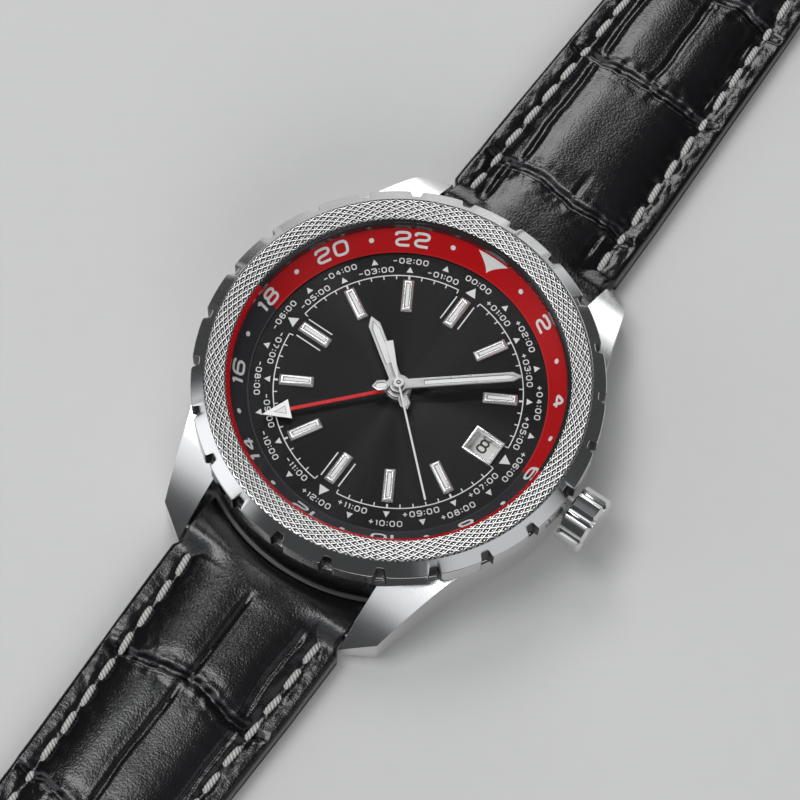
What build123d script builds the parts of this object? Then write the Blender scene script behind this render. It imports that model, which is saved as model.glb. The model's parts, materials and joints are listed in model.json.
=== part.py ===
from build123d import *
import math
import os

# World time wristwatch, lying on its case back with the strap opened out.
# Millimetres. Origin: centre of the case back's rest face. +X points to the crown (3 o'clock),
# +Y to 12 o'clock, +Z out of the dial.

# Levels of the case, from the table up
dial_top = 8.4
dial_thickness = 0.4
case_flank_foot = 2.6
case_top = 8.7
ledge_top = 8.2

# Case middle
case_foot_inset = 2.3
case_bore_margin = 0.55
bezel_seat_gap = 0.06
crown_axis_height = 6.6

# Lugs
lug_gap = 20.0
lug_tip_beyond_bar = 1.8
lug_tip_width = 3.2
lug_corner_length = 2.1
lug_shoulder_width = 5.9
lug_shoulder_length = 10.3
lug_blend_inset = 2.5
lug_blend_length = 14.8
lug_root_length = 12.4
lug_foot = 0.5
lug_tip_top = 2.5
lug_arc_length = 5.4
lug_arc_top = 6.35
lug_bevel = 0.7

# Spring bars at the lugs
bar_case_distance = 2.1
bar_height = 2.1
bar_radius = 0.75
bar_pivot_radius = 0.4
bar_pivot_length = 1.1
bar_end_play = 0.3
fit_gap = 0.08

# Case back and its gasket
back_edge = 0.8
back_thickness = 1.2
back_plug_height = 0.9
back_key_count = 6
back_key_width = 2.4
back_key_depth = 1.1
back_key_height = 0.6
gasket_width = 0.5
gasket_height = 0.55

# Bezel, with its side wall, cone and knurled band
bezel_overhang = 0.5
bezel_foot = 8.9
bezel_shoulder = 11.2
bezel_top = 12.2
bezel_cone_width = 1.5
knurl_width = 2.1
knurl_drop = 0.12
notch_count = 24
notch_depth = 0.8
notch_floor_width = 0.9
notch_mouth_width = 1.35

# Click spring under the bezel
click_wall = 1.1
click_strip_width = 0.8
click_strip_thickness = 0.15
click_pocket_depth = 0.45
click_pocket_margin = 0.08
click_span_degrees = 36
click_middle_degrees = 45
click_end_degrees = 1
click_nose_width = 0.4

# Crystal, its gasket and the 24 hour ring
crystal_thickness = 1.0
crystal_foot = 11.0
crystal_gasket_width = 0.3
ring_width = 2.2
ring_foot = 8.5
ring_top = 10.75

# Crown, tube and stem
crown_gap = 0.35
crown_length = 3.0
crown_radius = 3.15
crown_end_radius = 2.55
crown_bevel_length = 0.75
crown_groove_count = 8
crown_groove_radius = 0.36
crown_bore_radius = 1.6
crown_bore_depth = 1.7
crown_tube_radius = 1.25
crown_tube_bore = 0.7
crown_tube_inset = 0.45
crown_tube_entry = 1.05
crown_seal_height = 0.2
crown_seal_length = 0.5
stem_radius = 0.45
stem_square = 0.6
stem_square_reach = 4.8
stem_square_end_inset = 0.6
sleeve_reach = 3.8
sleeve_length = 1.7
sleeve_radius = 0.62
sleeve_groove_width = 0.4
sleeve_groove_depth = 0.1
sleeve_square_gap = 0.05

# Movement, whose plate drives the case, the dial and the bezel round it
plate_radius = 12.8
holder_wall = 3.25
holder_gap = 0.05
plate_foot = 4.4
plate_top = 7.2
works_floor = 5.5
works_radius = 7.4
stem_channel_width = 1.7
stem_channel_floor = 5.8
train_foot = 2.9
train_inset = 0.3
battery_radius = 4.75
battery_thickness = 2.1
battery_wall = 0.4
battery_degrees = 209.4
contact_width = 3.0
contact_reach = 3.0
contact_thickness = 0.15
coil_radius = 0.75
coil_length = 7.5
coil_flange_radius = 0.95
coil_flange_width = 0.4
coil_x = 2.0
coil_inset = 4.5
board_thickness = 0.25
board_inner_radius = 5.6
board_inset = 0.9
board_span_degrees = 120
board_middle_degrees = -30

# Wheels under the dial: distance of their posts, teeth, levels
works_distance = 3.6
cannon_teeth = 8
minute_wheel_teeth = 24
minute_pinion_teeth = 7
hour_wheel_teeth = 28
hour_gear_teeth = 16
world_idler_teeth = 16
world_pinion_teeth = 10
world_wheel_teeth = 20
wheel_thickness = 0.25
cannon_foot = 5.6
minute_wheel_foot = 5.72
hour_wheel_foot = 6.3
hour_gear_foot = 6.7
world_wheel_foot = 7.08
wheel_arbor_radius = 0.26
post_radius = 0.2
minute_wheel_degrees = -35
world_idler_degrees = 80
addendum_share = 0.9
dedendum_share = 1.25
root_half_share = 0.32

# Nested pipes at the dial's centre, by outer radius
seconds_arbor_radius = 0.15
centre_tube_bore = 0.22
centre_tube_radius = 0.34
cannon_bore = 0.4
cannon_pipe_radius = 0.6
hour_pipe_bore = 0.68
hour_pipe_radius = 0.88
world_pipe_bore = 0.96
world_pipe_radius = 1.16
dial_hole_radius = 1.3

# Date disc and its retaining plate
date_disc_foot = 7.25
date_disc_thickness = 0.25
date_disc_gap = 0.15
date_band_width = 4.3
date_tooth_height = 0.6
date_tooth_count = 31
retainer_foot = 7.55
retainer_thickness = 0.2
retainer_lap = 0.35

# Dial furniture
dial_hidden_edge = 0.4
date_window_place = 1.9
date_window_length = 2.7
date_window_width = 2.15
date_frame_wall = 0.35
date_frame_height = 0.4
date_frame_bevel = 0.15
marker_margin = 3.05
marker_length = 3.55
marker_width = 1.16
marker_height = 0.45
marker_bevel = 0.2
marker_inlay_width = 0.42
marker_inlay_end = 0.45
marker_inlay_depth = 0.12

# Hands: level of the underside, thickness, place at rest in degrees after 12, and the clearance left
# from each tip to the 24 hour ring's inner edge
world_hand_foot = 9.05
hour_hand_foot = 9.5
minute_hand_foot = 9.98
seconds_hand_foot = 10.46
hand_thickness = 0.2
thin_hand_thickness = 0.14
world_hand_degrees = 222.7
hour_hand_degrees = 304.8
minute_hand_degrees = 50.5
seconds_hand_degrees = 132.8
world_rod_width = 0.36
world_tip_clearance = 1.1
world_head_length = 2.9
world_head_width = 2.1
world_head_rim = 0.42
world_tail = 3.2
world_hub_radius = 1.32
hour_tip_clearance = 7.1
hour_width = 1.25
hour_hub_radius = 1.25
minute_tip_clearance = 2.6
minute_width = 1.0
minute_hub_radius = 0.88
hand_tip_length = 0.95
hand_tail = 2.7
hand_tail_width = 1.1
hand_tail_start = 0.8
hand_rim = 0.26
hand_inlay_start = 2.6
hand_inlay_drop = 0.05
seconds_tip_clearance = 2.4
seconds_tail = 4.65
seconds_width = 0.2
seconds_tail_width = 0.85
seconds_hub_radius = 0.5
seconds_cap_height = 0.12

# Strap, in its own length from the spring bar outwards
nose_radius = 1.7
strap_lug_width = 19.4
strap_wide = 20.6
strap_end_width = 18.0
lining_thickness = 1.0
buckle_half_length = 75.0
hole_half_length = 118.0
strap_border = 2.6
hole_radius = 0.9
hole_pitch = 7.0
hole_count = 7
last_hole_from_tip = 22.0
tail_length = 14.0
tail_side_share = 0.8
tail_rise_share = 0.45

# Half of the pad's crown between its sewn borders: share across, share of the rise
crown_shares = [(0.35, 1.0), (0.78, 0.62), (1.0, 0.0)]

# Stations along each half: place as a share of the length, width as a share of the step from the end
# width to the wide one, then underside, border top and crown top as shares of the nose's diameter
buckle_half_shares = [
    (0.035, 1.0, 0.06, 0.86, 1.13),
    (0.14, 0.92, 0.0, 0.76, 1.1),
    (0.33, 0.6, 0.0, 0.7, 1.0),
    (0.5, 0.36, 0.02, 0.66, 0.85),
    (0.64, 0.1, 0.29, 0.86, 0.96),
    (1.0, 0.0, 0.29, 0.86, 0.94),
]
hole_half_shares = [
    (0.022, 1.0, 0.06, 0.86, 1.13),
    (0.09, 0.92, 0.0, 0.76, 1.1),
    (0.21, 0.6, 0.0, 0.7, 1.0),
    (0.4, 0.24, 0.0, 0.64, 0.8),
    (0.5, 0.12, 0.0, 0.62, 0.7),
    (1.0, 0.0, 0.0, 0.6, 0.66),
]

# Buckle, tongue and keepers
buckle_bar_height = 2.15
buckle_loop_radius = 1.15
buckle_arm_width = 1.9
buckle_reach = 10.2
buckle_front_width = 2.2
buckle_ear_radius = 1.25
buckle_arm_height = 1.9
buckle_corner_radius = 2.2
tongue_width = 2.0
tongue_slot_width = 2.7
tongue_slot_depth = 3.6
tongue_eye_radius = 1.2
tongue_thickness = 1.0
tongue_overhang = 0.5
keeper_wall = 0.95
keeper_room = 5.0
keeper_side_gap = 0.3
free_keeper_width = 6.0
fixed_keeper_width = 5.0
free_keeper_from_buckle = 22.0
fixed_keeper_from_buckle = 9.0

# One overrun serves every cut
overrun = 1.0

# Pins, pipes and bores under two millimetres, and rings that stay hidden, are many-sided
small_sides = 12
hidden_sides = 36

# Worked out from the sizes above
dial_foot = dial_top - dial_thickness
train_radius = plate_radius - train_inset
board_outer_radius = train_radius - board_inset
battery_place = train_radius - battery_radius - battery_wall
battery_x = battery_place * math.cos(math.radians(battery_degrees))
battery_y = battery_place * math.sin(math.radians(battery_degrees))
coil_y = train_radius - coil_inset
holder_bore = plate_radius + holder_gap
holder_radius = holder_bore + holder_wall
date_disc_radius = holder_bore - date_disc_gap
date_tooth_root_radius = date_disc_radius - date_band_width
date_tooth_tip_radius = date_tooth_root_radius - date_tooth_height
retainer_radius = date_tooth_root_radius + retainer_lap
case_bore_radius = holder_radius + holder_gap
dial_radius = case_bore_radius - case_bore_margin
ring_inner_radius = dial_radius - dial_hidden_edge
bezel_bore_radius = ring_inner_radius + ring_width
bezel_cone_radius = bezel_bore_radius + knurl_width
bezel_radius = bezel_cone_radius + bezel_cone_width
bezel_seat_radius = bezel_bore_radius + bezel_seat_gap
crystal_radius = bezel_bore_radius - crystal_gasket_width
crystal_top = crystal_foot + crystal_thickness
case_radius = bezel_radius - bezel_overhang
case_foot_radius = case_radius - case_foot_inset
click_outer_radius = case_radius - click_wall
click_inner_radius = click_outer_radius - click_strip_width
back_radius = case_foot_radius - back_edge
back_plug_radius = case_bore_radius - holder_gap - gasket_width
back_plug_top = back_thickness + back_plug_height
crown_start = bezel_radius + crown_gap
crown_end = crown_start + crown_length
crown_tube_start = case_bore_radius + crown_tube_inset
crown_tube_end = crown_start + crown_tube_entry
stem_square_start = plate_radius - stem_square_reach
stem_square_end = plate_radius - stem_square_end_inset
sleeve_start = plate_radius - sleeve_reach
marker_outer_radius = ring_inner_radius - marker_margin
marker_inner_radius = marker_outer_radius - marker_length
date_window_x = marker_inner_radius + date_window_place
world_head_tip = ring_inner_radius - world_tip_clearance
world_head_foot = world_head_tip - world_head_length
hour_reach = ring_inner_radius - hour_tip_clearance
minute_reach = ring_inner_radius - minute_tip_clearance
seconds_reach = ring_inner_radius - seconds_tip_clearance
bar_y = case_radius + bar_case_distance
buckle_width = strap_end_width + 2 * (buckle_arm_width + keeper_side_gap)
lug_reach = bar_y + lug_tip_beyond_bar
lug_tip_x = lug_gap / 2 + lug_tip_width
lug_tip_y = lug_reach - lug_corner_length
lug_shoulder_x = lug_gap / 2 + lug_shoulder_width
lug_shoulder_y = lug_reach - lug_shoulder_length
lug_blend_x = case_radius - lug_blend_inset
lug_blend_y = lug_reach - lug_blend_length
lug_root_y = lug_reach - lug_root_length
lug_arc_y = lug_reach - lug_arc_length
free_keeper_place = buckle_half_length - free_keeper_from_buckle
fixed_keeper_place = buckle_half_length - fixed_keeper_from_buckle
eye_bore = bar_radius + fit_gap
cannon_module = 2 * works_distance / (cannon_teeth + minute_wheel_teeth)
hour_module = 2 * works_distance / (minute_pinion_teeth + hour_wheel_teeth)
idler_module = 2 * works_distance / (hour_gear_teeth + world_idler_teeth)
world_module = 2 * works_distance / (world_pinion_teeth + world_wheel_teeth)


def disc(radius, low, high):
    """A flat round plate about the vertical axis."""
    return Pos(0, 0, low) * extrude(Circle(radius), high - low)


def hidden_ring(inner, outer, low, high):
    """A many-sided ring that lies between two round walls and touches both."""
    hole = RegularPolygon(inner, hidden_sides, major_radius=False)
    return Pos(0, 0, low) * extrude(RegularPolygon(outer, hidden_sides) - hole, high - low)


def hidden_disc(radius, low, high):
    """A many-sided plate that fits a round hole."""
    return Pos(0, 0, low) * extrude(RegularPolygon(radius, hidden_sides), high - low)


def hidden_well(radius, low, high):
    """A many-sided cutter that clears a round piece."""
    return Pos(0, 0, low) * extrude(RegularPolygon(radius, hidden_sides, major_radius=False), high - low)


def pin(radius, low, high):
    """A small upright pin or pipe, many-sided within its round outline."""
    return Pos(0, 0, low) * extrude(RegularPolygon(radius, small_sides), high - low)


def pin_hole(radius, low, high):
    """A cutter for a small upright hole that clears a pin of the given radius."""
    return Pos(0, 0, low) * extrude(RegularPolygon(radius, small_sides, major_radius=False), high - low)


def turned(points):
    """A solid turned about the vertical axis from (radius, height) points."""
    outline = Polyline(*[(radius, 0, height) for radius, height in points], close=True)
    return revolve(make_face(outline), Axis.Z)


def slab(points, low, high):
    """A plan outline of (x, y) points, raised from low to high."""
    return Pos(0, 0, low) * extrude(make_face(Polyline(*points, close=True)), high - low)


def side_slab(points, left, right):
    """A side outline of (y, z) points, drawn across from left to right."""
    outline = Polyline(*[(left, y, z) for y, z in points], close=True)
    return extrude(make_face(outline), right - left, dir=(1, 0, 0))


def along_x(shape, start=0, y=0, z=0):
    """Lays an upright shape down so that its base faces -X, at the given place."""
    return Pos(start, y, z) * Rot(0, 90, 0) * shape


def box_between(low, high):
    """A block from its lowest to its highest corner."""
    size = [b - a for a, b in zip(low, high)]
    return Pos(*low) * Box(*size, align=(Align.MIN, Align.MIN, Align.MIN))


def polar(radius, degrees):
    """A plan point, counted anticlockwise from +X."""
    return radius * math.cos(math.radians(degrees)), radius * math.sin(math.radians(degrees))


def wedge(middle, span, reach, low, high):
    """A sector about the vertical axis that covers a ring out to the given reach."""
    start, end = middle - span / 2, middle + span / 2
    return slab([(0, 0), polar(2 * reach, start), polar(2 * reach, middle), polar(2 * reach, end)], low, high)


def at_hour(shape, degrees):
    """A shape drawn towards 12, turned clockwise by the given degrees."""
    return Rot(0, 0, -degrees) * shape


def four_ways(shape):
    """A shape drawn for one lug, with its three mirror images."""
    pair = shape + mirror(shape, about=Plane.YZ)
    return pair + mirror(pair, about=Plane.XZ)


# Case


def lug():
    """One lug: its plan outline cut to its curved side profile."""
    inner = lug_gap / 2
    plan = [
        (inner, lug_root_y),
        (inner, lug_reach),
        (lug_tip_x, lug_tip_y),
        (lug_shoulder_x, lug_shoulder_y),
        (lug_blend_x, lug_blend_y),
        (lug_root_y, lug_blend_y),
    ]
    top = ThreePointArc(
        (0, lug_reach, lug_tip_top), (0, lug_arc_y, lug_arc_top), (0, lug_root_y, case_top)
    )
    rest = Polyline(
        (0, lug_root_y, case_top),
        (0, 0, case_top),
        (0, 0, case_flank_foot),
        (0, lug_root_y, case_flank_foot),
        (0, lug_tip_y, lug_foot),
        (0, lug_reach, lug_foot + lug_bevel),
        (0, lug_reach, lug_tip_top),
    )
    profile = extrude(make_face(Curve() + [top, rest]), bezel_radius, dir=(1, 0, 0))
    return slab(plan, 0, case_top) & profile


def case_middle():
    """The turned case with its four lugs, bored for the movement, the hour ring and the crown tube."""
    body = turned(
        [
            (0, back_thickness),
            (case_foot_radius, back_thickness),
            (case_radius, case_flank_foot),
            (case_radius, case_top),
            (0, case_top),
        ]
    )
    body += four_ways(lug())
    body -= turned(
        [
            (0, back_thickness - overrun),
            (case_bore_radius, back_thickness - overrun),
            (case_bore_radius, ledge_top),
            (bezel_seat_radius, ledge_top),
            (bezel_seat_radius, case_top + overrun),
            (0, case_top + overrun),
        ]
    )
    pivot = lug_gap / 2 + bar_pivot_length
    for y in (bar_y, -bar_y):
        body -= along_x(pin(bar_pivot_radius, -pivot, pivot), 0, y, bar_height)
    passage = pin_hole(crown_tube_radius, case_bore_radius - overrun, bezel_radius)
    body -= along_x(passage, 0, 0, crown_axis_height)
    floor = case_top - click_pocket_depth
    body -= click_arc(click_pocket_margin, floor, case_top + overrun, click_span_degrees + click_end_degrees)
    return body


def case_back():
    """Screwed back: a flange with key slots, and the plug that enters the case."""
    back = disc(back_radius, 0, back_thickness) + hidden_disc(back_plug_radius, back_thickness, back_plug_top)
    slot = box_between(
        (back_radius - back_key_depth, -back_key_width / 2, -overrun),
        (back_radius + overrun, back_key_width / 2, back_key_height),
    )
    for index in range(back_key_count):
        back -= Rot(0, 0, 360 * index / back_key_count) * slot
    return back


def case_back_gasket():
    """Flat sealing ring on the back's flange, round its plug."""
    return hidden_ring(back_plug_radius, back_plug_radius + gasket_width, back_thickness,
                       back_thickness + gasket_height)


def barred(body, pivot):
    """A round bar across the X axis with a thinner pivot at each end."""
    return along_x(pin(bar_radius, -body, body) + pin(bar_pivot_radius, -pivot, pivot))


def spring_bar():
    """A spring bar across the lugs, with its two pivots."""
    return barred(lug_gap / 2 - bar_end_play, lug_gap / 2 + bar_pivot_length)


def click_arc(margin, low, high, span):
    """A stretch of a flat ring at the click's place, grown by a margin."""
    inner, outer = click_inner_radius - margin, click_outer_radius + margin
    ring = disc(outer, low, high) - disc(inner, low, high)
    return ring & wedge(click_middle_degrees, span, click_outer_radius, low - overrun, high + overrun)


def click_spring():
    """Spring strip in the case's pocket, with the nose that rides under the bezel."""
    floor = case_top - click_pocket_depth
    strip = click_arc(0, floor, floor + click_strip_thickness, click_span_degrees)
    nose = box_between(
        (click_inner_radius + click_pocket_margin, -click_nose_width / 2, floor + click_strip_thickness / 2),
        (click_outer_radius - click_pocket_margin, click_nose_width / 2, bezel_foot - fit_gap),
    )
    return strip + Rot(0, 0, click_middle_degrees) * nose


# Bezel group


def notch_cutter():
    """One grip notch: a flared slot through the rim's full height."""
    floor = bezel_radius - notch_depth
    flare = (notch_mouth_width - notch_floor_width) / 2
    wide = notch_mouth_width / 2 + flare * overrun / notch_depth
    outline = [
        (floor, -notch_floor_width / 2),
        (bezel_radius + overrun, -wide),
        (bezel_radius + overrun, wide),
        (floor, notch_floor_width / 2),
    ]
    return slab(outline, bezel_foot - overrun, bezel_top + overrun)


def bezel():
    """The turning rim: side wall, polished cone, the sunk band that is knurled, and the grip notches."""
    band = bezel_top - knurl_drop
    body = turned(
        [
            (bezel_bore_radius, bezel_foot),
            (bezel_radius, bezel_foot),
            (bezel_radius, bezel_shoulder),
            (bezel_cone_radius, bezel_top),
            (bezel_bore_radius, band),
        ]
    )
    notch = notch_cutter()
    for index in range(notch_count):
        body -= Rot(0, 0, 360 * index / notch_count) * notch
    return body


def crystal():
    """Flat crystal."""
    return disc(crystal_radius, crystal_foot, crystal_top)


def crystal_gasket():
    """Sealing band round the crystal's edge, standing on the hour ring."""
    return hidden_ring(crystal_radius, bezel_bore_radius, ring_top, crystal_top)


def hour_ring():
    """The sloping 24 hour ring, a cone from the dial's edge up to the crystal."""
    return turned(
        [(ring_inner_radius, ring_foot), (bezel_bore_radius, ring_foot), (bezel_bore_radius, ring_top)]
    )


# Crown and stem


def crown():
    """Fluted crown: broad lobes between narrow grooves, a bevelled end and a bore over the tube."""
    outline = Circle(crown_radius)
    for index in range(crown_groove_count):
        groove = Pos(crown_radius, 0) * RegularPolygon(crown_groove_radius, small_sides)
        outline -= Rot(0, 0, 360 * (index + 0.5) / crown_groove_count) * groove
    length = crown_end - crown_start
    envelope = turned(
        [
            (0, 0),
            (crown_radius, 0),
            (crown_radius, length - crown_bevel_length),
            (crown_end_radius, length),
            (0, length),
        ]
    )
    body = extrude(outline, length) & envelope
    body -= pin_hole(crown_bore_radius, -overrun, crown_bore_depth)
    body -= pin_hole(stem_radius, -overrun, crown_bore_depth + stem_radius)
    return along_x(body, crown_start, 0, crown_axis_height)


def crown_seal():
    """Sealing ring in the crown's bore, round the tube."""
    ring = pin(crown_bore_radius, 0, crown_seal_length)
    ring -= pin_hole(crown_bore_radius - crown_seal_height, -overrun, crown_seal_length + overrun)
    return along_x(ring, crown_start + crown_seal_length, 0, crown_axis_height)


def crown_tube():
    """Tube through the case wall that carries the stem."""
    length = crown_tube_end - crown_tube_start
    pipe = pin(crown_tube_radius, 0, length) - pin_hole(crown_tube_bore, -overrun, length + overrun)
    return along_x(pipe, crown_tube_start, 0, crown_axis_height)


def winding_stem():
    """Stem from the crown to the movement, squared where it drives the sliding sleeve."""
    end = crown_start + crown_bore_depth + stem_radius
    half = stem_square / 2
    square = box_between((stem_square_start, -half, -half), (stem_square_end, half, half))
    stem = along_x(pin(stem_radius, stem_square_end, end)) + square
    return Pos(0, 0, crown_axis_height) * stem


def sliding_sleeve():
    """Square-bored sleeve that turns with the stem, with a groove for its lever."""
    hole = stem_square + 2 * sleeve_square_gap
    groove = (sleeve_length - sleeve_groove_width) / 2
    body = pin(sleeve_radius, 0, groove) + pin(sleeve_radius, groove + sleeve_groove_width, sleeve_length)
    body += pin(sleeve_radius - sleeve_groove_depth, groove, groove + sleeve_groove_width)
    body -= Pos(0, 0, -overrun) * extrude(Rectangle(hole, hole), sleeve_length + 2 * overrun)
    return along_x(body, sleeve_start, 0, crown_axis_height)


# Wheels under the dial


def wheel(teeth, module, foot, thickness, phase):
    """A toothed wheel with one tooth at the given angle."""
    pitch_radius = module * teeth / 2
    root = pitch_radius - dedendum_share * module
    tip = pitch_radius + addendum_share * module
    step = 360 / teeth
    stations = [(root, -root_half_share), (tip, 0), (root, root_half_share)]
    points = [polar(radius, step * (index + place)) for index in range(teeth) for radius, place in stations]
    return Rot(0, 0, phase) * slab(points, foot, foot + thickness)


def mesh_phase(phase, teeth, direction, other_teeth):
    """The angle of a tooth on a wheel that meshes with another in the given direction."""
    step = 360 / teeth
    offset = (phase - direction + step / 2) % step - step / 2
    return direction + 180 - offset * teeth / other_teeth + 180 / other_teeth


def train_phases():
    """Tooth angles that put the minute wheel, hour wheel, idler and 24 hour wheel in mesh at rest."""
    minute = mesh_phase(0, cannon_teeth, minute_wheel_degrees, minute_wheel_teeth)
    hour = mesh_phase(minute, minute_pinion_teeth, minute_wheel_degrees + 180, hour_wheel_teeth)
    idler = mesh_phase(hour, hour_gear_teeth, world_idler_degrees, world_idler_teeth)
    world = mesh_phase(idler, world_pinion_teeth, world_idler_degrees + 180, world_wheel_teeth)
    return minute, hour, idler, world


def cannon_pinion():
    """The minute hand's pipe with its pinion, running on the centre tube."""
    top = minute_hand_foot + hand_thickness
    height = minute_wheel_foot + wheel_thickness * 2 - cannon_foot
    body = wheel(cannon_teeth, cannon_module, cannon_foot, height, 0)
    body += pin(cannon_pipe_radius, cannon_foot, top)
    return body - pin_hole(cannon_bore, cannon_foot - overrun, top + overrun)


def minute_wheel():
    """Wheel and pinion that carry the minute pipe's turn to the hour wheel."""
    phase = train_phases()[0]
    foot = minute_wheel_foot + wheel_thickness
    top = hour_wheel_foot + 2 * wheel_thickness
    body = wheel(minute_wheel_teeth, cannon_module, minute_wheel_foot, wheel_thickness, phase)
    body += wheel(minute_pinion_teeth, hour_module, foot, top - foot, phase)
    body -= pin_hole(wheel_arbor_radius, works_floor, plate_top)
    return Pos(*polar(works_distance, minute_wheel_degrees), 0) * body


def hour_wheel():
    """The hour hand's pipe with its wheel and the gear that drives the 24 hour train."""
    phase = train_phases()[1]
    top = hour_hand_foot + hand_thickness
    body = wheel(hour_wheel_teeth, hour_module, hour_wheel_foot, wheel_thickness, phase)
    body += wheel(hour_gear_teeth, idler_module, hour_gear_foot, wheel_thickness, phase)
    body += pin(hour_pipe_radius, hour_wheel_foot, top)
    return body - pin_hole(hour_pipe_bore, hour_wheel_foot - overrun, top + overrun)


def world_idler():
    """Idler whose wheel and pinion halve the hour wheel's turn."""
    phase = train_phases()[2]
    foot = hour_gear_foot + wheel_thickness
    body = wheel(world_idler_teeth, idler_module, hour_gear_foot, wheel_thickness, phase)
    body += wheel(world_pinion_teeth, world_module, foot, world_wheel_foot + wheel_thickness - foot, phase)
    body -= pin_hole(wheel_arbor_radius, works_floor, retainer_foot)
    return Pos(*polar(works_distance, world_idler_degrees), 0) * body


def world_wheel():
    """The 24 hour hand's pipe with its wheel."""
    phase = train_phases()[3]
    top = world_hand_foot + thin_hand_thickness
    body = wheel(world_wheel_teeth, world_module, world_wheel_foot, wheel_thickness, phase)
    body += pin(world_pipe_radius, world_wheel_foot, top)
    return body - pin_hole(world_pipe_bore, world_wheel_foot - overrun, top + overrun)


def date_disc():
    """Thin disc toothed inside, which shows the date through the dial's window."""
    step = 360 / date_tooth_count
    stations = [(date_tooth_root_radius, 0), (date_tooth_tip_radius, 1 / 2)]
    points = [
        polar(radius, step * (index + place))
        for index in range(date_tooth_count)
        for radius, place in stations
    ]
    top = date_disc_foot + date_disc_thickness
    return hidden_disc(date_disc_radius, date_disc_foot, top) - slab(
        points, date_disc_foot - overrun, top + overrun
    )


def date_retainer():
    """Plate over the date disc's inner edge and the wheels, on the main plate's posts."""
    top = retainer_foot + retainer_thickness
    plate = hidden_disc(retainer_radius, retainer_foot, top)
    return plate - pin_hole(dial_hole_radius, retainer_foot - overrun, top + overrun)


# Movement


def movement_holder():
    """Spacer ring that centres the movement in the case, carries the dial and guides the date disc."""
    ring = hidden_ring(holder_bore, holder_radius, back_plug_top, dial_foot)
    passage = pin_hole(stem_radius + fit_gap, holder_bore - overrun, case_bore_radius)
    return ring - along_x(passage, 0, 0, crown_axis_height)


def main_plate():
    """Round plate with the wheels' recess, the stem's channel, the posts and the centre tube."""
    plate = hidden_disc(plate_radius, plate_foot, plate_top)
    plate -= hidden_well(works_radius, works_floor, plate_top + overrun)
    plate -= box_between(
        (works_radius - overrun, -stem_channel_width / 2, stem_channel_floor),
        (plate_radius + overrun, stem_channel_width / 2, plate_top + overrun),
    )
    plate += pin(centre_tube_radius, works_floor, dial_foot)
    for degrees in (minute_wheel_degrees, world_idler_degrees):
        plate += Pos(*polar(works_distance, degrees), 0) * pin(post_radius, works_floor, retainer_foot)
    return plate - pin_hole(centre_tube_bore, plate_foot - overrun, dial_foot + overrun)


def train_block():
    """Closed motor and train unit under the plate, pocketed for the battery and the coil."""
    block = hidden_disc(train_radius, train_foot, plate_foot)
    cell = hidden_well(battery_radius + fit_gap, train_foot - overrun, plate_foot + overrun)
    block -= Pos(battery_x, battery_y, 0) * cell
    reach = coil_length / 2 + coil_flange_width + fit_gap
    half = coil_flange_radius + fit_gap
    return block - box_between(
        (coil_x - reach, coil_y - half, train_foot - overrun),
        (coil_x + reach, coil_y + half, plate_foot + overrun),
    )


def battery():
    """Flat round cell."""
    cell = hidden_disc(battery_radius, plate_foot - battery_thickness, plate_foot)
    return Pos(battery_x, battery_y, 0) * cell


def battery_contact():
    """Spring strip under the cell, with its foot on the train block."""
    top = plate_foot - battery_thickness
    half = contact_width / 2
    near = battery_x + battery_radius + fit_gap
    strip = box_between(
        (battery_x - contact_reach, battery_y - half, top - contact_thickness),
        (near + half, battery_y + half, top),
    )
    foot = box_between(
        (near, battery_y - half, top - contact_thickness), (near + half, battery_y + half, train_foot)
    )
    return strip + foot


def drive_coil():
    """Motor coil: winding between two flanges."""
    half = coil_length / 2
    body = pin(coil_radius, -half, half)
    body += pin(coil_flange_radius, -half - coil_flange_width, -half)
    body += pin(coil_flange_radius, half, half + coil_flange_width)
    return along_x(body, coil_x, coil_y, plate_foot - coil_flange_radius)


def circuit_board():
    """Curved board under the train block."""
    low = train_foot - board_thickness
    ring = hidden_ring(board_inner_radius, board_outer_radius, low, train_foot)
    return ring & wedge(board_middle_degrees, board_span_degrees, board_outer_radius, low, train_foot)


# Dial


def dial():
    """Dial with the hole for the hands and the date window."""
    plate = disc(dial_radius, dial_foot, dial_top)
    plate -= pin_hole(dial_hole_radius, dial_foot - overrun, dial_top + overrun)
    window = extrude(Rectangle(date_window_length, date_window_width), dial_thickness + 2 * overrun)
    return plate - Pos(date_window_x, 0, dial_foot - overrun) * window


def marker_bar(width, inset, foot, top):
    """A bar lying radially towards 12, from the markers' inner to outer radius less an inset."""
    return box_between(
        (-width / 2, marker_inner_radius + inset, foot), (width / 2, marker_outer_radius - inset, top)
    )


def marker_inlay():
    """The pale strip let into a marker's top."""
    top = dial_top + marker_height
    return marker_bar(marker_inlay_width, marker_inlay_end, top - marker_inlay_depth, top)


def hour_marker():
    """One applied marker: a bar with bevelled upper edges, channelled for its inlay."""
    bar = marker_bar(marker_width, 0, dial_top, dial_top + marker_height)
    bar = chamfer(bar.faces().sort_by(Axis.Z)[-1].edges(), marker_bevel)
    return bar - marker_inlay()


def at_marked_hours(shape):
    """Copies at every hour except 3, where the date window is."""
    copies = [at_hour(shape, 30 * hour) for hour in range(12) if hour != 3]
    return copies[0] + copies[1:]


def date_frame():
    """Bevelled frame round the date window."""
    length = date_window_length + 2 * date_frame_wall
    width = date_window_width + 2 * date_frame_wall
    block = Pos(date_window_x, 0, dial_top) * extrude(Rectangle(length, width), date_frame_height)
    block = chamfer(block.faces().sort_by(Axis.Z)[-1].edges(), date_frame_bevel)
    window = extrude(Rectangle(date_window_length, date_window_width), date_frame_height + 2 * overrun)
    return block - Pos(date_window_x, 0, dial_top - overrun) * window


# Hands


def blade(width, start, tip, point):
    """A parallel blade from start to a pointed tip."""
    half = width / 2
    return [(-half, start), (half, start), (half, tip - point), (0, tip), (-half, tip - point)]


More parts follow.
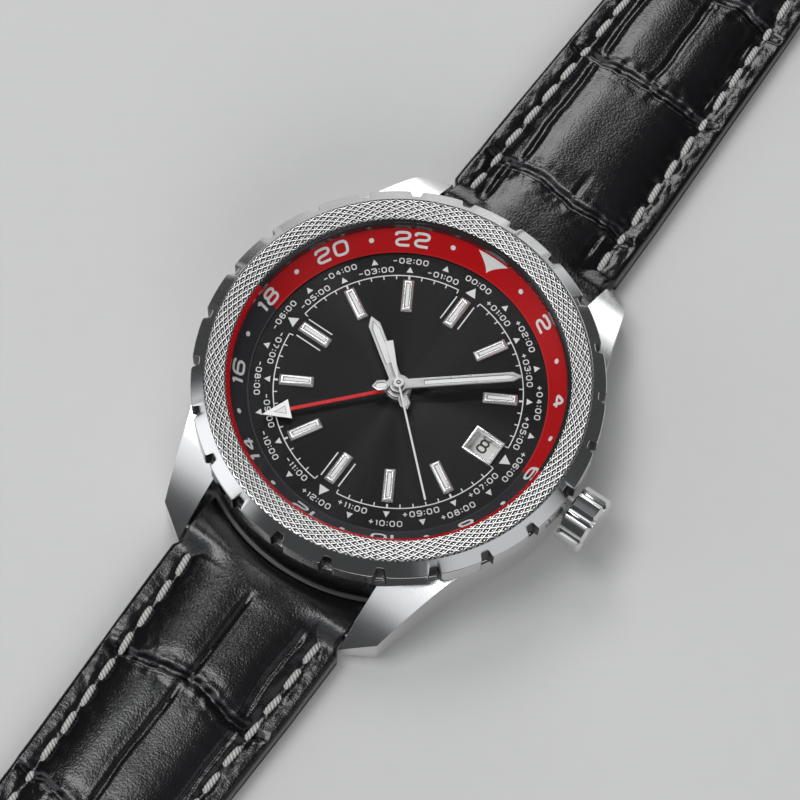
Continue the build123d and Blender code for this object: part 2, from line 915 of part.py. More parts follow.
def tail_outline(rim):
    """The six-sided counterweight, shrunk by a rim for its inlay."""
    half = hand_tail_width / 2 - rim
    start = hand_tail_start + rim
    end = hand_tail - rim
    near, far = start + half, end - half
    return [(0, -end), (half, -far), (half, -near), (0, -start), (-half, -near), (-half, -far)]


def hand_inlays(width, reach, foot):
    """The luminous strips in a hand's blade and tail."""
    high = foot + hand_thickness - hand_inlay_drop
    strip = blade(width - 2 * hand_rim, hand_inlay_start, reach - 2 * hand_rim, hand_tip_length)
    return slab(strip, foot, high) + slab(tail_outline(hand_rim), foot, high)


def windowed_hand(width, reach, hub, foot, pipe):
    """A flat hand with a pointed blade, a round hub and a six-sided tail, open for its inlays."""
    high = foot + hand_thickness
    body = slab(blade(width, 0, reach, hand_tip_length), foot, high)
    body += slab(tail_outline(0), foot, high)
    body += disc(hub, foot, high)
    strip = blade(width - 2 * hand_rim, hand_inlay_start, reach - 2 * hand_rim, hand_tip_length)
    body -= slab(strip, foot - overrun, high + overrun)
    body -= slab(tail_outline(hand_rim), foot - overrun, high + overrun)
    return body - pin_hole(pipe, foot - overrun, high + overrun)


def hour_hand():
    """The short broad hand."""
    return windowed_hand(hour_width, hour_reach, hour_hub_radius, hour_hand_foot, hour_pipe_radius)


def minute_hand():
    """The long broad hand."""
    return windowed_hand(minute_width, minute_reach, minute_hub_radius, minute_hand_foot, cannon_pipe_radius)


def head_outline(rim):
    """The 24 hour hand's triangular head, shrunk by a rim for its inlay."""
    half = world_head_width / 2
    slope = math.atan2(half, world_head_tip - world_head_foot)
    foot = world_head_foot + rim
    tip = world_head_tip - rim / math.sin(slope)
    side = (tip - foot) * math.tan(slope)
    return [(-side, foot), (side, foot), (0, tip)]


def world_hand():
    """The thin 24 hour hand with its triangular head, open for the inlay, and a short tail."""
    high = world_hand_foot + thin_hand_thickness
    half = world_rod_width / 2
    rod = [(-half, -world_tail), (half, -world_tail), (half, world_head_foot), (-half, world_head_foot)]
    body = slab(rod, world_hand_foot, high) + disc(world_hub_radius, world_hand_foot, high)
    body += slab(head_outline(0), world_hand_foot, high)
    body -= slab(head_outline(world_head_rim), world_hand_foot - overrun, high + overrun)
    return body - pin_hole(world_pipe_radius, world_hand_foot - overrun, high + overrun)


def world_hand_inlay():
    """The luminous triangle in the 24 hour hand's head."""
    return slab(head_outline(world_head_rim), world_hand_foot, world_hand_foot + thin_hand_thickness)


def seconds_hand():
    """Needle with a paddle tail and a capped hub."""
    high = seconds_hand_foot + thin_hand_thickness
    half = seconds_width / 2
    tail = seconds_tail_width / 2
    needle = [(-half, 0), (half, 0), (half, seconds_reach), (-half, seconds_reach)]
    paddle = [(half, 0), (-half, 0), (-tail, -seconds_tail), (tail, -seconds_tail)]
    body = slab(needle, seconds_hand_foot, high) + slab(paddle, seconds_hand_foot, high)
    body += disc(seconds_hub_radius, seconds_hand_foot, high + seconds_cap_height)
    return body - pin_hole(seconds_arbor_radius, seconds_hand_foot - overrun, high)


def seconds_arbor():
    """The thin shaft that carries the seconds hand through the nested pipes."""
    return pin(seconds_arbor_radius, plate_foot, seconds_hand_foot + thin_hand_thickness)


# Strap


def strap_stations(shares, length):
    """Real sizes of the stations along a half: place, width, underside, border top, crown top."""
    unit = 2 * nose_radius
    extra = strap_wide - strap_end_width
    return [
        (along * length, strap_end_width + wide * extra, low * unit, edge * unit, top * unit)
        for along, wide, low, edge, top in shares
    ]


def pad_section(place, width, low, edge, crown):
    """A cross-section of the padded upper: flat sewn borders with a crowned middle."""
    half = width / 2
    inner = half - strap_border
    rise = crown - edge
    right = [(inner * across, edge + rise * up) for across, up in crown_shares]
    left = [(-x, z) for x, z in reversed(right)]
    outline = left + right + [(half, edge), (half, low), (-half, low), (-half, edge)]
    return make_face(Polyline(*[(x, place, z) for x, z in outline], close=True))


def strap_pad(shares, length):
    """The padded upper of a half, from the first station to the last."""
    sections = [
        pad_section(place, width, low + lining_thickness, edge, top)
        for place, width, low, edge, top in strap_stations(shares, length)
    ]
    return loft(sections, ruled=True)


def strap_base(shares, length):
    """The flat lining of a half, under the pad."""
    sections = []
    for place, width, low, _, _ in strap_stations(shares, length):
        half = width / 2
        high = low + lining_thickness
        points = [(-half, place, low), (half, place, low), (half, place, high), (-half, place, high)]
        sections.append(make_face(Polyline(*points, close=True)))
    return loft(sections, ruled=True)


def strap_nose(first):
    """The loop round the spring bar, narrowed to pass between the lugs, up to the first station."""
    place, _, low, edge, _ = first
    half = strap_lug_width / 2
    neck = side_slab(
        [(0, bar_height - nose_radius), (place, low), (place, edge), (0, bar_height + nose_radius)],
        -half,
        half,
    )
    return along_x(disc(nose_radius, -half, half), 0, 0, bar_height) + neck


def bar_eye(width, y, z):
    """A cutter for the bore in which a strap or tongue turns on its bar."""
    half = width / 2 + overrun
    return along_x(pin_hole(eye_bore, -half, half), 0, y, z)


def tongue_slot():
    """A cutter for the slot in the buckle end, through which the tongue's eye passes."""
    half = tongue_slot_width / 2
    reach = buckle_half_length + buckle_loop_radius + overrun
    return box_between(
        (-half, buckle_half_length - tongue_slot_depth, -overrun),
        (half, reach, buckle_bar_height + 2 * nose_radius),
    )


def buckle_half_upper():
    """Padded half towards 12: nose, pad, and the slotted loop that holds the buckle's bar."""
    length = buckle_half_length
    body = strap_nose(strap_stations(buckle_half_shares, length)[0]) + strap_pad(buckle_half_shares, length)
    half = strap_end_width / 2
    body += along_x(disc(buckle_loop_radius, -half, half), 0, length, buckle_bar_height)
    body -= bar_eye(strap_lug_width, 0, bar_height)
    body -= bar_eye(strap_end_width, length, buckle_bar_height)
    return body - tongue_slot()


def buckle_half_lining():
    """Lining under the 12 o'clock half, cut away for the end loop."""
    half = strap_end_width / 2 + overrun
    loop = along_x(disc(buckle_loop_radius, -half, half), 0, buckle_half_length, buckle_bar_height)
    return strap_base(buckle_half_shares, buckle_half_length) - loop - tongue_slot()


def punched(body):
    """Points the tail with two round shoulders and punches the row of adjusting holes."""
    side, tip = strap_end_width / 2, hole_half_length
    shoulder = tip - tail_length
    middle = (side * tail_side_share, shoulder + tail_length * tail_rise_share)
    arcs = [
        ThreePointArc((side, shoulder), middle, (0, tip)),
        ThreePointArc((0, tip), (-middle[0], middle[1]), (-side, shoulder)),
    ]
    rest = Polyline(
        (-side, shoulder), (-strap_wide, shoulder), (-strap_wide, 0), (strap_wide, 0), (strap_wide, shoulder),
        (side, shoulder)
    )
    high = bar_height + 2 * nose_radius
    body = body & extrude(make_face(Curve() + [*arcs, rest]), high)
    for index in range(hole_count):
        place = tip - last_hole_from_tip - index * hole_pitch
        body -= Pos(0, place, 0) * pin_hole(hole_radius, -overrun, high)
    return body


def hole_half_upper():
    """Padded half towards 6: nose and pad, with its holes and pointed tail."""
    first = strap_stations(hole_half_shares, hole_half_length)[0]
    body = strap_nose(first) + punched(strap_pad(hole_half_shares, hole_half_length))
    return body - bar_eye(strap_lug_width, 0, bar_height)


def hole_half_lining():
    """Lining under the 6 o'clock half."""
    return punched(strap_base(hole_half_shares, hole_half_length))


def keeper(width):
    """A leather loop round the strap, standing on the table."""
    inner = strap_end_width / 2 + keeper_side_gap
    outer = inner + keeper_wall
    block = box_between((-outer, 0, 0), (outer, width, keeper_room + 2 * keeper_wall))
    block = fillet(block.edges().filter_by(Axis.Y), keeper_wall)
    window = box_between((-inner, -overrun, keeper_wall), (inner, width + overrun, keeper_wall + keeper_room))
    return block - window


# Buckle, drawn round its bar


def buckle_bar():
    """Bar through the strap's end loop, with pivots in the buckle's arms."""
    half = buckle_width / 2
    return barred(half - buckle_arm_width - keeper_side_gap, half - buckle_arm_width / 2)


def buckle_top(y):
    """Height of the frame's upper face above the bar, falling towards the front."""
    front = buckle_reach + buckle_front_width / 2
    return buckle_ear_radius + (buckle_arm_height - buckle_bar_height - buckle_ear_radius) * y / front


def buckle_frame():
    """U-shaped frame: ears on the bar's pivots, sloping arms and a rounded front bar on the table."""
    outer = buckle_width / 2
    inner = outer - buckle_arm_width
    front = buckle_reach + buckle_front_width / 2
    foot = -buckle_bar_height
    profile = [(0, -buckle_ear_radius), (front, foot), (front, buckle_top(front)), (0, buckle_ear_radius)]
    body = side_slab(profile, -outer, outer)
    body = fillet(body.edges().filter_by(Axis.Z).sort_by(Axis.Y)[-2:], buckle_corner_radius)
    body += along_x(disc(buckle_ear_radius, -outer, outer))
    body -= box_between(
        (-inner, -2 * buckle_ear_radius, foot - overrun),
        (inner, front - buckle_front_width, buckle_bar_height),
    )
    pivot = outer - buckle_arm_width / 2 + fit_gap
    return body - along_x(pin_hole(bar_pivot_radius + fit_gap, -pivot, pivot))


def buckle_tongue():
    """Tongue: an eye round the bar and a flat pin that rests on the front bar."""
    half = tongue_width / 2
    front = buckle_reach + buckle_front_width / 2
    tip = front + tongue_overhang
    near = bar_radius + tongue_thickness
    gap = fit_gap
    pin_side = [
        (0, tongue_eye_radius),
        (0, bar_radius),
        (near, buckle_top(near) + gap),
        (tip, buckle_top(tip) + gap),
        (tip, buckle_top(tip) + gap + tongue_thickness / 2),
        (front - buckle_front_width, buckle_top(front - buckle_front_width) + gap + tongue_thickness),
        (near, buckle_top(near) + gap + tongue_thickness),
    ]
    eye = along_x(disc(tongue_eye_radius, -half, half))
    return eye + side_slab(pin_side, -half, half) - bar_eye(tongue_width, 0, 0)


# Placing


def towards_12(shape, y=0, z=0):
    """Places a piece drawn from the bar outwards on the 12 o'clock side."""
    return Pos(0, bar_y + y, z) * shape


def towards_6(shape, y=0, z=0):
    """Places a piece drawn from the bar outwards on the 6 o'clock side."""
    return Rot(0, 0, 180) * towards_12(shape, y, z)


def at_buckle(shape):
    """Places a piece drawn round the buckle's bar."""
    return towards_12(shape, buckle_half_length, buckle_bar_height)


def case_pieces():
    """The case, its movement and its dial."""
    return {
        "case_middle": case_middle(),
        "case_back": case_back(),
        "case_back_gasket": case_back_gasket(),
        "crown_tube": crown_tube(),
        "click_spring": click_spring(),
        "movement_holder": movement_holder(),
        "main_plate": main_plate(),
        "train_block": train_block(),
        "battery": battery(),
        "battery_contact": battery_contact(),
        "drive_coil": drive_coil(),
        "circuit_board": circuit_board(),
        "date_retainer": date_retainer(),
        "dial": dial(),
        "hour_markers": at_marked_hours(hour_marker()),
        "hour_marker_inlays": at_marked_hours(marker_inlay()),
        "date_frame": date_frame(),
        "spring_bar_12": towards_12(spring_bar(), 0, bar_height),
        "spring_bar_6": towards_6(spring_bar(), 0, bar_height),
    }


def moving_pieces():
    """What turns or slides in the case: the bezel group, the hands with their wheels, the crown."""
    hour = hand_inlays(hour_width, hour_reach, hour_hand_foot)
    minute = hand_inlays(minute_width, minute_reach, minute_hand_foot)
    return {
        "bezel": bezel(),
        "crystal": crystal(),
        "crystal_gasket": crystal_gasket(),
        "hour_ring": hour_ring(),
        "cannon_pinion": cannon_pinion(),
        "minute_hand": at_hour(minute_hand(), minute_hand_degrees),
        "minute_hand_inlays": at_hour(minute, minute_hand_degrees),
        "minute_wheel": minute_wheel(),
        "hour_wheel": hour_wheel(),
        "hour_hand": at_hour(hour_hand(), hour_hand_degrees),
        "hour_hand_inlays": at_hour(hour, hour_hand_degrees),
        "world_idler": world_idler(),
        "world_wheel": world_wheel(),
        "world_hand": at_hour(world_hand(), world_hand_degrees),
        "world_hand_inlay": at_hour(world_hand_inlay(), world_hand_degrees),
        "seconds_arbor": seconds_arbor(),
        "seconds_hand": at_hour(seconds_hand(), seconds_hand_degrees),
        "date_disc": date_disc(),
        "sliding_sleeve": sliding_sleeve(),
        "winding_stem": winding_stem(),
        "crown": crown(),
        "crown_seal": crown_seal(),
    }


def strap_pieces():
    """The two halves, their keepers and the buckle."""
    return {
        "strap_12_upper": towards_12(buckle_half_upper()),
        "strap_12_lining": towards_12(buckle_half_lining()),
        "fixed_keeper": towards_12(keeper(fixed_keeper_width), fixed_keeper_place),
        "free_keeper": towards_12(keeper(free_keeper_width), free_keeper_place),
        "buckle_bar": at_buckle(buckle_bar()),
        "buckle_frame": at_buckle(buckle_frame()),
        "buckle_tongue": at_buckle(buckle_tongue()),
        "strap_6_upper": towards_6(hole_half_upper()),
        "strap_6_lining": towards_6(hole_half_lining()),
    }


os.makedirs("parts", exist_ok=True)
for name, shape in {**case_pieces(), **moving_pieces(), **strap_pieces()}.items():
    export_step(shape, os.path.join("parts", name + ".step"))
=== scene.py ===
"""The finished look of the world time watch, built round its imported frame."""

import json
import logging
import math
import random
from dataclasses import dataclass
from enum import Enum
from typing import Any, Optional, Sequence, Union

import bmesh
import bpy
from mathutils import Matrix, Vector, noise


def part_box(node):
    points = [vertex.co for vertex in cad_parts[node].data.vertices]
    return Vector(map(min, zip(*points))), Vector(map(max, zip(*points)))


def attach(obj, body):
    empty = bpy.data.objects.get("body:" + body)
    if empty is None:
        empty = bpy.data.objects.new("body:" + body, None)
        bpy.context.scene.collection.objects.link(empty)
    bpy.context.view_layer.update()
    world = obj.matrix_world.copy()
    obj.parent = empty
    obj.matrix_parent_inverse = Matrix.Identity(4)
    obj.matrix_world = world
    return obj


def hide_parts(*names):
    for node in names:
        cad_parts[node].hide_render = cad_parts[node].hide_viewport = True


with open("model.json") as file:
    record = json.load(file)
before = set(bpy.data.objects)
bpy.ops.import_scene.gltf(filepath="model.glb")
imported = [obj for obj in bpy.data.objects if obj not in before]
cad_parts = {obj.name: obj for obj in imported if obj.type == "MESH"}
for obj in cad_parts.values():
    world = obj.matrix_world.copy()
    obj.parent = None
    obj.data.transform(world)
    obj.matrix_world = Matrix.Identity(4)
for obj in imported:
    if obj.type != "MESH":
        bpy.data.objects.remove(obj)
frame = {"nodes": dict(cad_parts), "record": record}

LOG = logging.getLogger("watch")
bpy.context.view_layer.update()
SLOTS = {part["node"]: part["material_slot"] for part in frame["record"]["subparts"]}
BODIES = {node: body for body, nodes in frame["record"]["behaviour"]["bodies"].items() for node in nodes}
MM = 0.001
PER_METRE = 1000.0
FULL_TURN = 2 * math.pi
KNURL_COUNT = 100
KNURL_LENGTH = 0.53
NODE_MERGE = 2e-4
NODE_FLAT_DEGREES = 0.3

Mesh = bmesh.types.BMesh
Vert = bmesh.types.BMVert
Edge = bmesh.types.BMEdge
Face = bmesh.types.BMFace
Thing = bpy.types.Object
Material = bpy.types.Material
Point = tuple[float, float]
Place = tuple[float, float, float]
Colour = tuple[float, float, float]
Value = Union[float, "Signal"]


def low(node: str) -> Vector:
    """Lowest corner of a node, in millimetres."""
    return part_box(node)[0] * PER_METRE


def high(node: str) -> Vector:
    """Highest corner of a node, in millimetres."""
    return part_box(node)[1] * PER_METRE


def polar(radius: float, degrees: float) -> Point:
    """Point at a radius and at degrees clockwise from 12 o'clock."""
    angle = math.radians(degrees)
    return radius * math.sin(angle), radius * math.cos(angle)


def smooth_step(start: float, end: float, value: float) -> float:
    """Eases from 0 at start to 1 at end."""
    share = min(max((value - start) / (end - start), 0.0), 1.0)
    return share * share * (3 - 2 * share)


def hump(distance: float, width: float) -> float:
    """A bell of height 1 that falls off over a width."""
    return math.exp(-(distance / width) ** 2)


def half_chord(radius: float, offset: float) -> float:
    """Half the chord of a circle at an offset from its centre, or 0 past its edge."""
    return math.sqrt(max(radius ** 2 - offset ** 2, 0.0))


def tinted(colour: Colour, share: float) -> Colour:
    """A colour with each part multiplied by a share."""
    return tuple(part * share for part in colour)


# Shader maths


class Signal:
    """One socket of a finish, on which sums are written as plain expressions."""

    def __init__(self, bench: "Bench", socket: bpy.types.NodeSocket) -> None:
        """Keeps the socket, and the bench whose tree it is in."""
        self.bench = bench
        self.socket = socket

    def maths(self, operation: str, *others: Value) -> "Signal":
        """Adds a Math node that starts from this signal, and reads its result."""
        return self.bench.maths(operation, self, *others)

    def __add__(self, other: Value) -> "Signal":
        """Sum."""
        return self.maths("ADD", other)

    def __radd__(self, other: Value) -> "Signal":
        """Sum, from the right."""
        return self.bench.maths("ADD", other, self)

    def __sub__(self, other: Value) -> "Signal":
        """Difference."""
        return self.maths("SUBTRACT", other)

    def __rsub__(self, other: Value) -> "Signal":
        """Difference, from the right."""
        return self.bench.maths("SUBTRACT", other, self)

    def __mul__(self, other: Value) -> "Signal":
        """Product."""
        return self.maths("MULTIPLY", other)

    def __rmul__(self, other: Value) -> "Signal":
        """Product, from the right."""
        return self.bench.maths("MULTIPLY", other, self)

    def __truediv__(self, other: Value) -> "Signal":
        """Quotient."""
        return self.maths("DIVIDE", other)

    def __rtruediv__(self, other: Value) -> "Signal":
        """Quotient, from the right."""
        return self.bench.maths("DIVIDE", other, self)

    def hypot(self, other: "Signal") -> "Signal":
        """Hypotenuse over this side and another one."""
        return (self * self + other * other).maths("SQRT")

    def wave(self) -> "Signal":
        """Sine of this angle, shifted to run from 0 to 1."""
        return self.maths("SINE") * 0.5 + 0.5

    def zigzag(self) -> "Signal":
        """Falls from 1 to 0 and rises again between whole numbers."""
        return (self.maths("FLOORED_MODULO", 1.0) * 2 - 1).maths("ABSOLUTE")

    def ease(self, start: float, end: float) -> "Signal":
        """Eases from 0 where this signal is at start to 1 where it is at end."""
        limits = {0: self, 1: start, 2: end, 3: 0.0, 4: 1.0}
        return self.bench.read("ShaderNodeMapRange", {"interpolation_type": "SMOOTHSTEP"}, limits)


class Bench:
    """The node tree of a material or of the surroundings, with its shader."""

    def __init__(
        self,
        owner: Union[Material, bpy.types.World],
        shader: str = "ShaderNodeBsdfPrincipled",
        output: str = "ShaderNodeOutputMaterial",
    ) -> None:
        """Starts the tree with one shader.

        Args:
            owner: the material or world.
            shader: the type of its shader.
            output: the type of its output.
        """
        owner.use_nodes = True
        self.tree = owner.node_tree
        self.tree.nodes.clear()
        self.shader = self.add(shader)
        self.feed(self.add(output).inputs["Surface"], Signal(self, self.shader.outputs[0]))

    def add(
        self, kind: str, settings: Optional[dict[str, Any]] = None, sockets: Optional[dict[Any, Any]] = None
    ) -> bpy.types.Node:
        """Adds one node.

        Args:
            kind: the node's type.
            settings: its settings, which are set first.
            sockets: values or signals for its inputs, by name or number.

        Returns:
            The node.
        """
        node = self.tree.nodes.new(kind)
        for key, value in (settings or {}).items():
            setattr(node, key, value)
        for key, value in (sockets or {}).items():
            self.feed(node.inputs[key], value)
        return node

    def read(
        self,
        kind: str,
        settings: Optional[dict[str, Any]] = None,
        sockets: Optional[dict[Any, Any]] = None,
        output: Union[int, str] = 0,
    ) -> Signal:
        """Adds one node, as add does, and reads one of its outputs by name or number."""
        return Signal(self, self.add(kind, settings, sockets).outputs[output])

    def feed(self, socket: bpy.types.NodeSocket, value: Any) -> None:
        """Links a signal to an input, or sets the input's value.

        Args:
            socket: the input.
            value: a signal or a constant.
        """
        if isinstance(value, Signal):
            self.tree.links.new(value.socket, socket)
        elif isinstance(value, tuple) and socket.type == "RGBA":
            socket.default_value = (*value, 1.0)
        else:
            socket.default_value = value

    def set(self, name: str, value: Any) -> None:
        """Sets or links one of the shader's sockets."""
        self.feed(self.shader.inputs[name], value)

    def maths(self, operation: str, *values: Value) -> Signal:
        """Adds a Math node and reads its result."""
        return self.read("ShaderNodeMath", {"operation": operation}, dict(enumerate(values)))

    def place(self) -> Signal:
        """Object coordinates in millimetres."""
        metres = self.read("ShaderNodeTexCoord", output="Object")
        return self.read("ShaderNodeVectorMath", {"operation": "MULTIPLY"}, {0: metres, 1: (PER_METRE,) * 3})

    def split(self, vector: Signal) -> tuple[Signal, Signal, Signal]:
        """The three parts of a vector."""
        node = self.add("ShaderNodeSeparateXYZ", None, {0: vector})
        return tuple(Signal(self, output) for output in node.outputs)

    def axes(self) -> tuple[Signal, Signal, Signal]:
        """The three Object coordinates in millimetres."""
        return self.split(self.place())

    def vector(self, x: Value, y: Value, z: Value) -> Signal:
        """Joins three signals to a vector."""
        return self.read("ShaderNodeCombineXYZ", None, {0: x, 1: y, 2: z})

    def noise(self, place: Signal, scale: float, detail: float = 2.0, roughness: float = 0.5) -> Signal:
        """Noise from 0 to 1, whose scale says how many features there are in a millimetre."""
        sockets = {"Vector": place, "Scale": scale, "Detail": detail, "Roughness": roughness}
        return self.read("ShaderNodeTexNoise", None, sockets)

    def blend(self, factor: Value, first: Colour, second: Colour) -> Signal:
        """Mixes two colours, where the factor is the share of the second one."""
        return self.read("ShaderNodeMix", {"data_type": "RGBA"}, {0: factor, 6: first, 7: second}, 2)

    def relief(self, height: Signal, depth: float) -> None:
        """Sends a height from 0 to 1 to the shader's normal, where 1 stands for the depth in millimetres."""
        sockets = {"Strength": 1.0, "Distance": depth * MM, "Height": height}
        self.set("Normal", self.read("ShaderNodeBump", None, sockets))


# Finishes


class Lay(Enum):
    """Which way the fine lines of a metal run."""

    MIRROR = "mirror"
    LENGTHWISE = "lengthwise"
    ROUND_DIAL = "round the dial"
    ROUND_STEM = "round the stem"


@dataclass(frozen=True)
class Finish:
    """A material with its own name; each kind of finish feeds its shader in its own way."""

    name: str

    def material(self) -> Material:
        """Builds the material.

        Returns:
            The material.
        """
        material = bpy.data.materials.new(self.name)
        self.dress(Bench(material))
        return material

    def dress(self, bench: Bench) -> None:
        """Feeds the shader of a material's bench."""
        raise NotImplementedError


@dataclass(frozen=True)
class Metal(Finish):
    """A bare metal, polished or with fine lines."""

    colour: Colour
    roughness: float = 0.12
    lay: Lay = Lay.MIRROR
    line_depth: float = 0.004
    wear: float = 0.06
    metallic: float = 1.0
    haze_scale: float = 0.35
    haze_tint: float = 0.86
    haze_share: float = 0.5
    brushed_scale: float = 14.0
    brushed_along: float = 0.25
    turned_scale: float = 12.0
    polish_scale: float = 6.0

    def lines(self, bench: Bench) -> Signal:
        """Height of the fine lines.

        Args:
            bench: the bench of the material.

        Returns:
            The height, from 0 to 1.
        """
        if self.lay is Lay.MIRROR:
            return bench.noise(bench.place(), self.polish_scale)
        x, y, z = bench.axes()
        if self.lay is Lay.LENGTHWISE:
            place = bench.vector(x * self.brushed_scale, y * self.brushed_along, z * self.brushed_scale)
        elif self.lay is Lay.ROUND_DIAL:
            place = bench.vector(x.hypot(y) * self.turned_scale, z * self.turned_scale, 0.0)
        else:
            place = bench.vector(z.hypot(y) * self.turned_scale, x * self.turned_scale, 0.0)
        return bench.noise(place, 1.0, 3.0)

    def dress(self, bench: Bench) -> None:
        """Feeds the shader.

        Args:
            bench: the bench of the material.
        """
        haze = bench.noise(bench.place(), self.haze_scale, 3.0)
        hazy = tinted(self.colour, self.haze_tint)
        bench.set("Metallic", self.metallic)
        bench.set("Base Color", bench.blend(haze * self.haze_share, self.colour, hazy))
        bench.set("Roughness", self.roughness + (haze - 0.5) * self.wear)
        bench.relief(self.lines(bench), self.line_depth)


@dataclass(frozen=True)
class Knurl(Finish):
    """Polished crossed ridges, with painted shade darkening the slopes of the pits between them."""

    bright: Colour = (0.66, 0.66, 0.65)
    # Colour of the painted shade on the slopes of the pits.
    soil: Colour = (0.012, 0.012, 0.012)
    ridge: float = 0.17
    floor: float = 0.66
    blur: float = 0.12
    roughness: float = 0.28
    soil_roughness: float = 0.2
    soil_cover: float = 0.5

    def dress(self, bench: Bench) -> None:
        """Feeds the shader.

        Args:
            bench: the bench of the material.
        """
        x, y, _ = bench.axes()
        along = y.maths("ARCTAN2", x) * (KNURL_COUNT / FULL_TURN)
        across = (x.hypot(y) - high("crystal_gasket").x) / KNURL_LENGTH
        pit = 1 - (along + across).zigzag().maths("MAXIMUM", (along - across).zigzag())
        # Painted shade: the slopes of the pits are made dark and less metallic, while the ridges and the pit
        # floors keep the bright steel.
        risen = pit.ease(self.ridge, self.ridge + self.blur)
        slope = risen * (1 - pit.ease(self.floor, self.floor + self.blur))
        bench.set("Base Color", bench.blend(slope, self.bright, self.soil))
        bench.set("Metallic", 1 - slope * self.soil_cover)
        bench.set("Roughness", self.roughness + slope * self.soil_roughness)


@dataclass(frozen=True)
class Paint(Finish):
    """A smooth paint, lacquer, plastic or rubber."""

    colour: Colour
    roughness: float = 0.4
    grain: float = 4.0
    grain_depth: float = 0.004
    coat: float = 0.0
    speckle_tint: float = 0.85
    wear: float = 0.12

    def dress(self, bench: Bench) -> None:
        """Feeds the shader.

        Args:
            bench: the bench of the material.
        """
        speckle = bench.noise(bench.place(), self.grain, 3.0)
        bench.set("Base Color", bench.blend(speckle, self.colour, tinted(self.colour, self.speckle_tint)))
        bench.set("Roughness", self.roughness + (speckle - 0.5) * self.wear)
        bench.set("Coat Weight", self.coat)
        bench.relief(speckle, self.grain_depth)


@dataclass(frozen=True)
class Sunray(Finish):
    """Black dial lacquer over rays brushed from the centre, with the rays' sheen painted as paler sectors.
    """

    dark: Colour = (0.004, 0.004, 0.0045)
    pale: Colour = (0.02, 0.02, 0.021)
    rays: float = 90.0
    ray_depth: float = 0.013
    fans: float = 1.6
    fan_limits: Point = (0.42, 0.7)
    fan_share: float = 0.65
    ray_drift: float = 0.12
    fan_seed: float = 0.3
    metallic: float = 0.5
    roughness: float = 0.3
    wear: float = 0.06
    gloss: float = 0.3

    def dress(self, bench: Bench) -> None:
        """Feeds the shader.

        Args:
            bench: the bench of the material.
        """
        x, y, _ = bench.axes()
        radius = x.hypot(y)
        x, y = x / radius, y / radius
        fine = bench.noise(bench.vector(x * self.rays, y * self.rays, radius * self.ray_drift), 1.0, 3.0)
        # Painted sheen: a few paler sectors round the centre stand in for the light on the brushed rays,
        # mixed with the fine rays' own tone.
        painted_sheen = bench.noise(bench.vector(x * self.fans, y * self.fans, self.fan_seed), 1.0, 1.0)
        shade = fine * (1 - self.fan_share) + painted_sheen.ease(*self.fan_limits) * self.fan_share
        bench.set("Base Color", bench.blend(shade, self.dark, self.pale))
        bench.set("Metallic", self.metallic)
        bench.set("Roughness", self.roughness + (fine - 0.5) * self.wear)
        bench.set("Specular IOR Level", self.gloss)
        bench.relief(fine, self.ray_depth)


@dataclass(frozen=True)
class HalfRing(Finish):
    """Lacquer with one colour at each half of the 24 hour ring; on the crystal's rim the same split paints
    the reflection of the ring's opposite half.
    """

    day: Colour = (0.028, 0.029, 0.033)
    night: Colour = (0.46, 0.003, 0.005)
    roughness: float = 0.38
    gloss: float = 0.3
    edge: float = 0.05
    grain: float = 5.0
    grain_depth: float = 0.001
    wear: float = 0.06

    def dress(self, bench: Bench) -> None:
        """Feeds the shader.

        Args:
            bench: the bench of the material.
        """
        _, y, _ = bench.axes()
        speckle = bench.noise(bench.place(), self.grain)
        # On the crystal's rim these two colours are a painted reflection of the ring, not lacquer.
        bench.set("Base Color", bench.blend(y.ease(-self.edge, self.edge), self.day, self.night))
        bench.set("Roughness", self.roughness + (speckle - 0.5) * self.wear)
        bench.set("Specular IOR Level", self.gloss)
        bench.relief(speckle, self.grain_depth)


@dataclass(frozen=True)
class Crystal(Finish):
    """Flat glass with a dull antireflective film."""

    colour: Colour = (0.92, 0.95, 1.0)
    film: float = 0.14
    refraction: float = 1.5
    roughness: float = 0.02
    smudge_scale: float = 0.12
    smudge_roughness: float = 0.02

    def dress(self, bench: Bench) -> None:
        """Feeds the shader.

        Args:
            bench: the bench of the material.
        """
        gloss = bench.read("ShaderNodeFresnel", None, {"IOR": self.refraction})
        smudge = bench.noise(bench.place(), self.smudge_scale)
        bench.set("Base Color", self.colour)
        bench.set("Metallic", 1.0)
        bench.set("Roughness", self.roughness + smudge * self.smudge_roughness)
        bench.set("Alpha", gloss * self.film)


@dataclass(frozen=True)
class Leather(Finish):
    """Glossy embossed leather, or the smooth matt leather of a lining."""

    colour: Colour
    roughness: float
    grain: float
    grain_depth: float
    coat: float = 0.0
    fold_scale: float = 0.8
    rub_scale: float = 0.16
    rub_limits: Point = (0.35, 0.75)
    rub_tint: float = 1.9
    rub_lift: float = 0.001
    rub_share: float = 0.6
    pebble_crispness: float = 0.45
    fold_wear: float = 0.15
    fold_share: float = 0.7
    coat_roughness: float = 0.2

    def dress(self, bench: Bench) -> None:
        """Feeds the shader.

        Args:
            bench: the bench of the material.
        """
        place = bench.place()
        pebbles = bench.noise(place, self.grain, 2.0, self.pebble_crispness)
        fold = bench.noise(place, self.fold_scale)
        rub = bench.noise(place, self.rub_scale, 3.0)
        worn = tuple(part * self.rub_tint + self.rub_lift for part in self.colour)
        rubbed = rub.ease(*self.rub_limits) * self.rub_share
        bench.set("Base Color", bench.blend(rubbed, self.colour, worn))
        bench.set("Roughness", self.roughness + (fold - 0.5) * self.fold_wear)
        bench.set("Coat Weight", self.coat)
        bench.set("Coat Roughness", self.coat_roughness)
        bench.relief(pebbles + fold * self.fold_share, self.grain_depth)


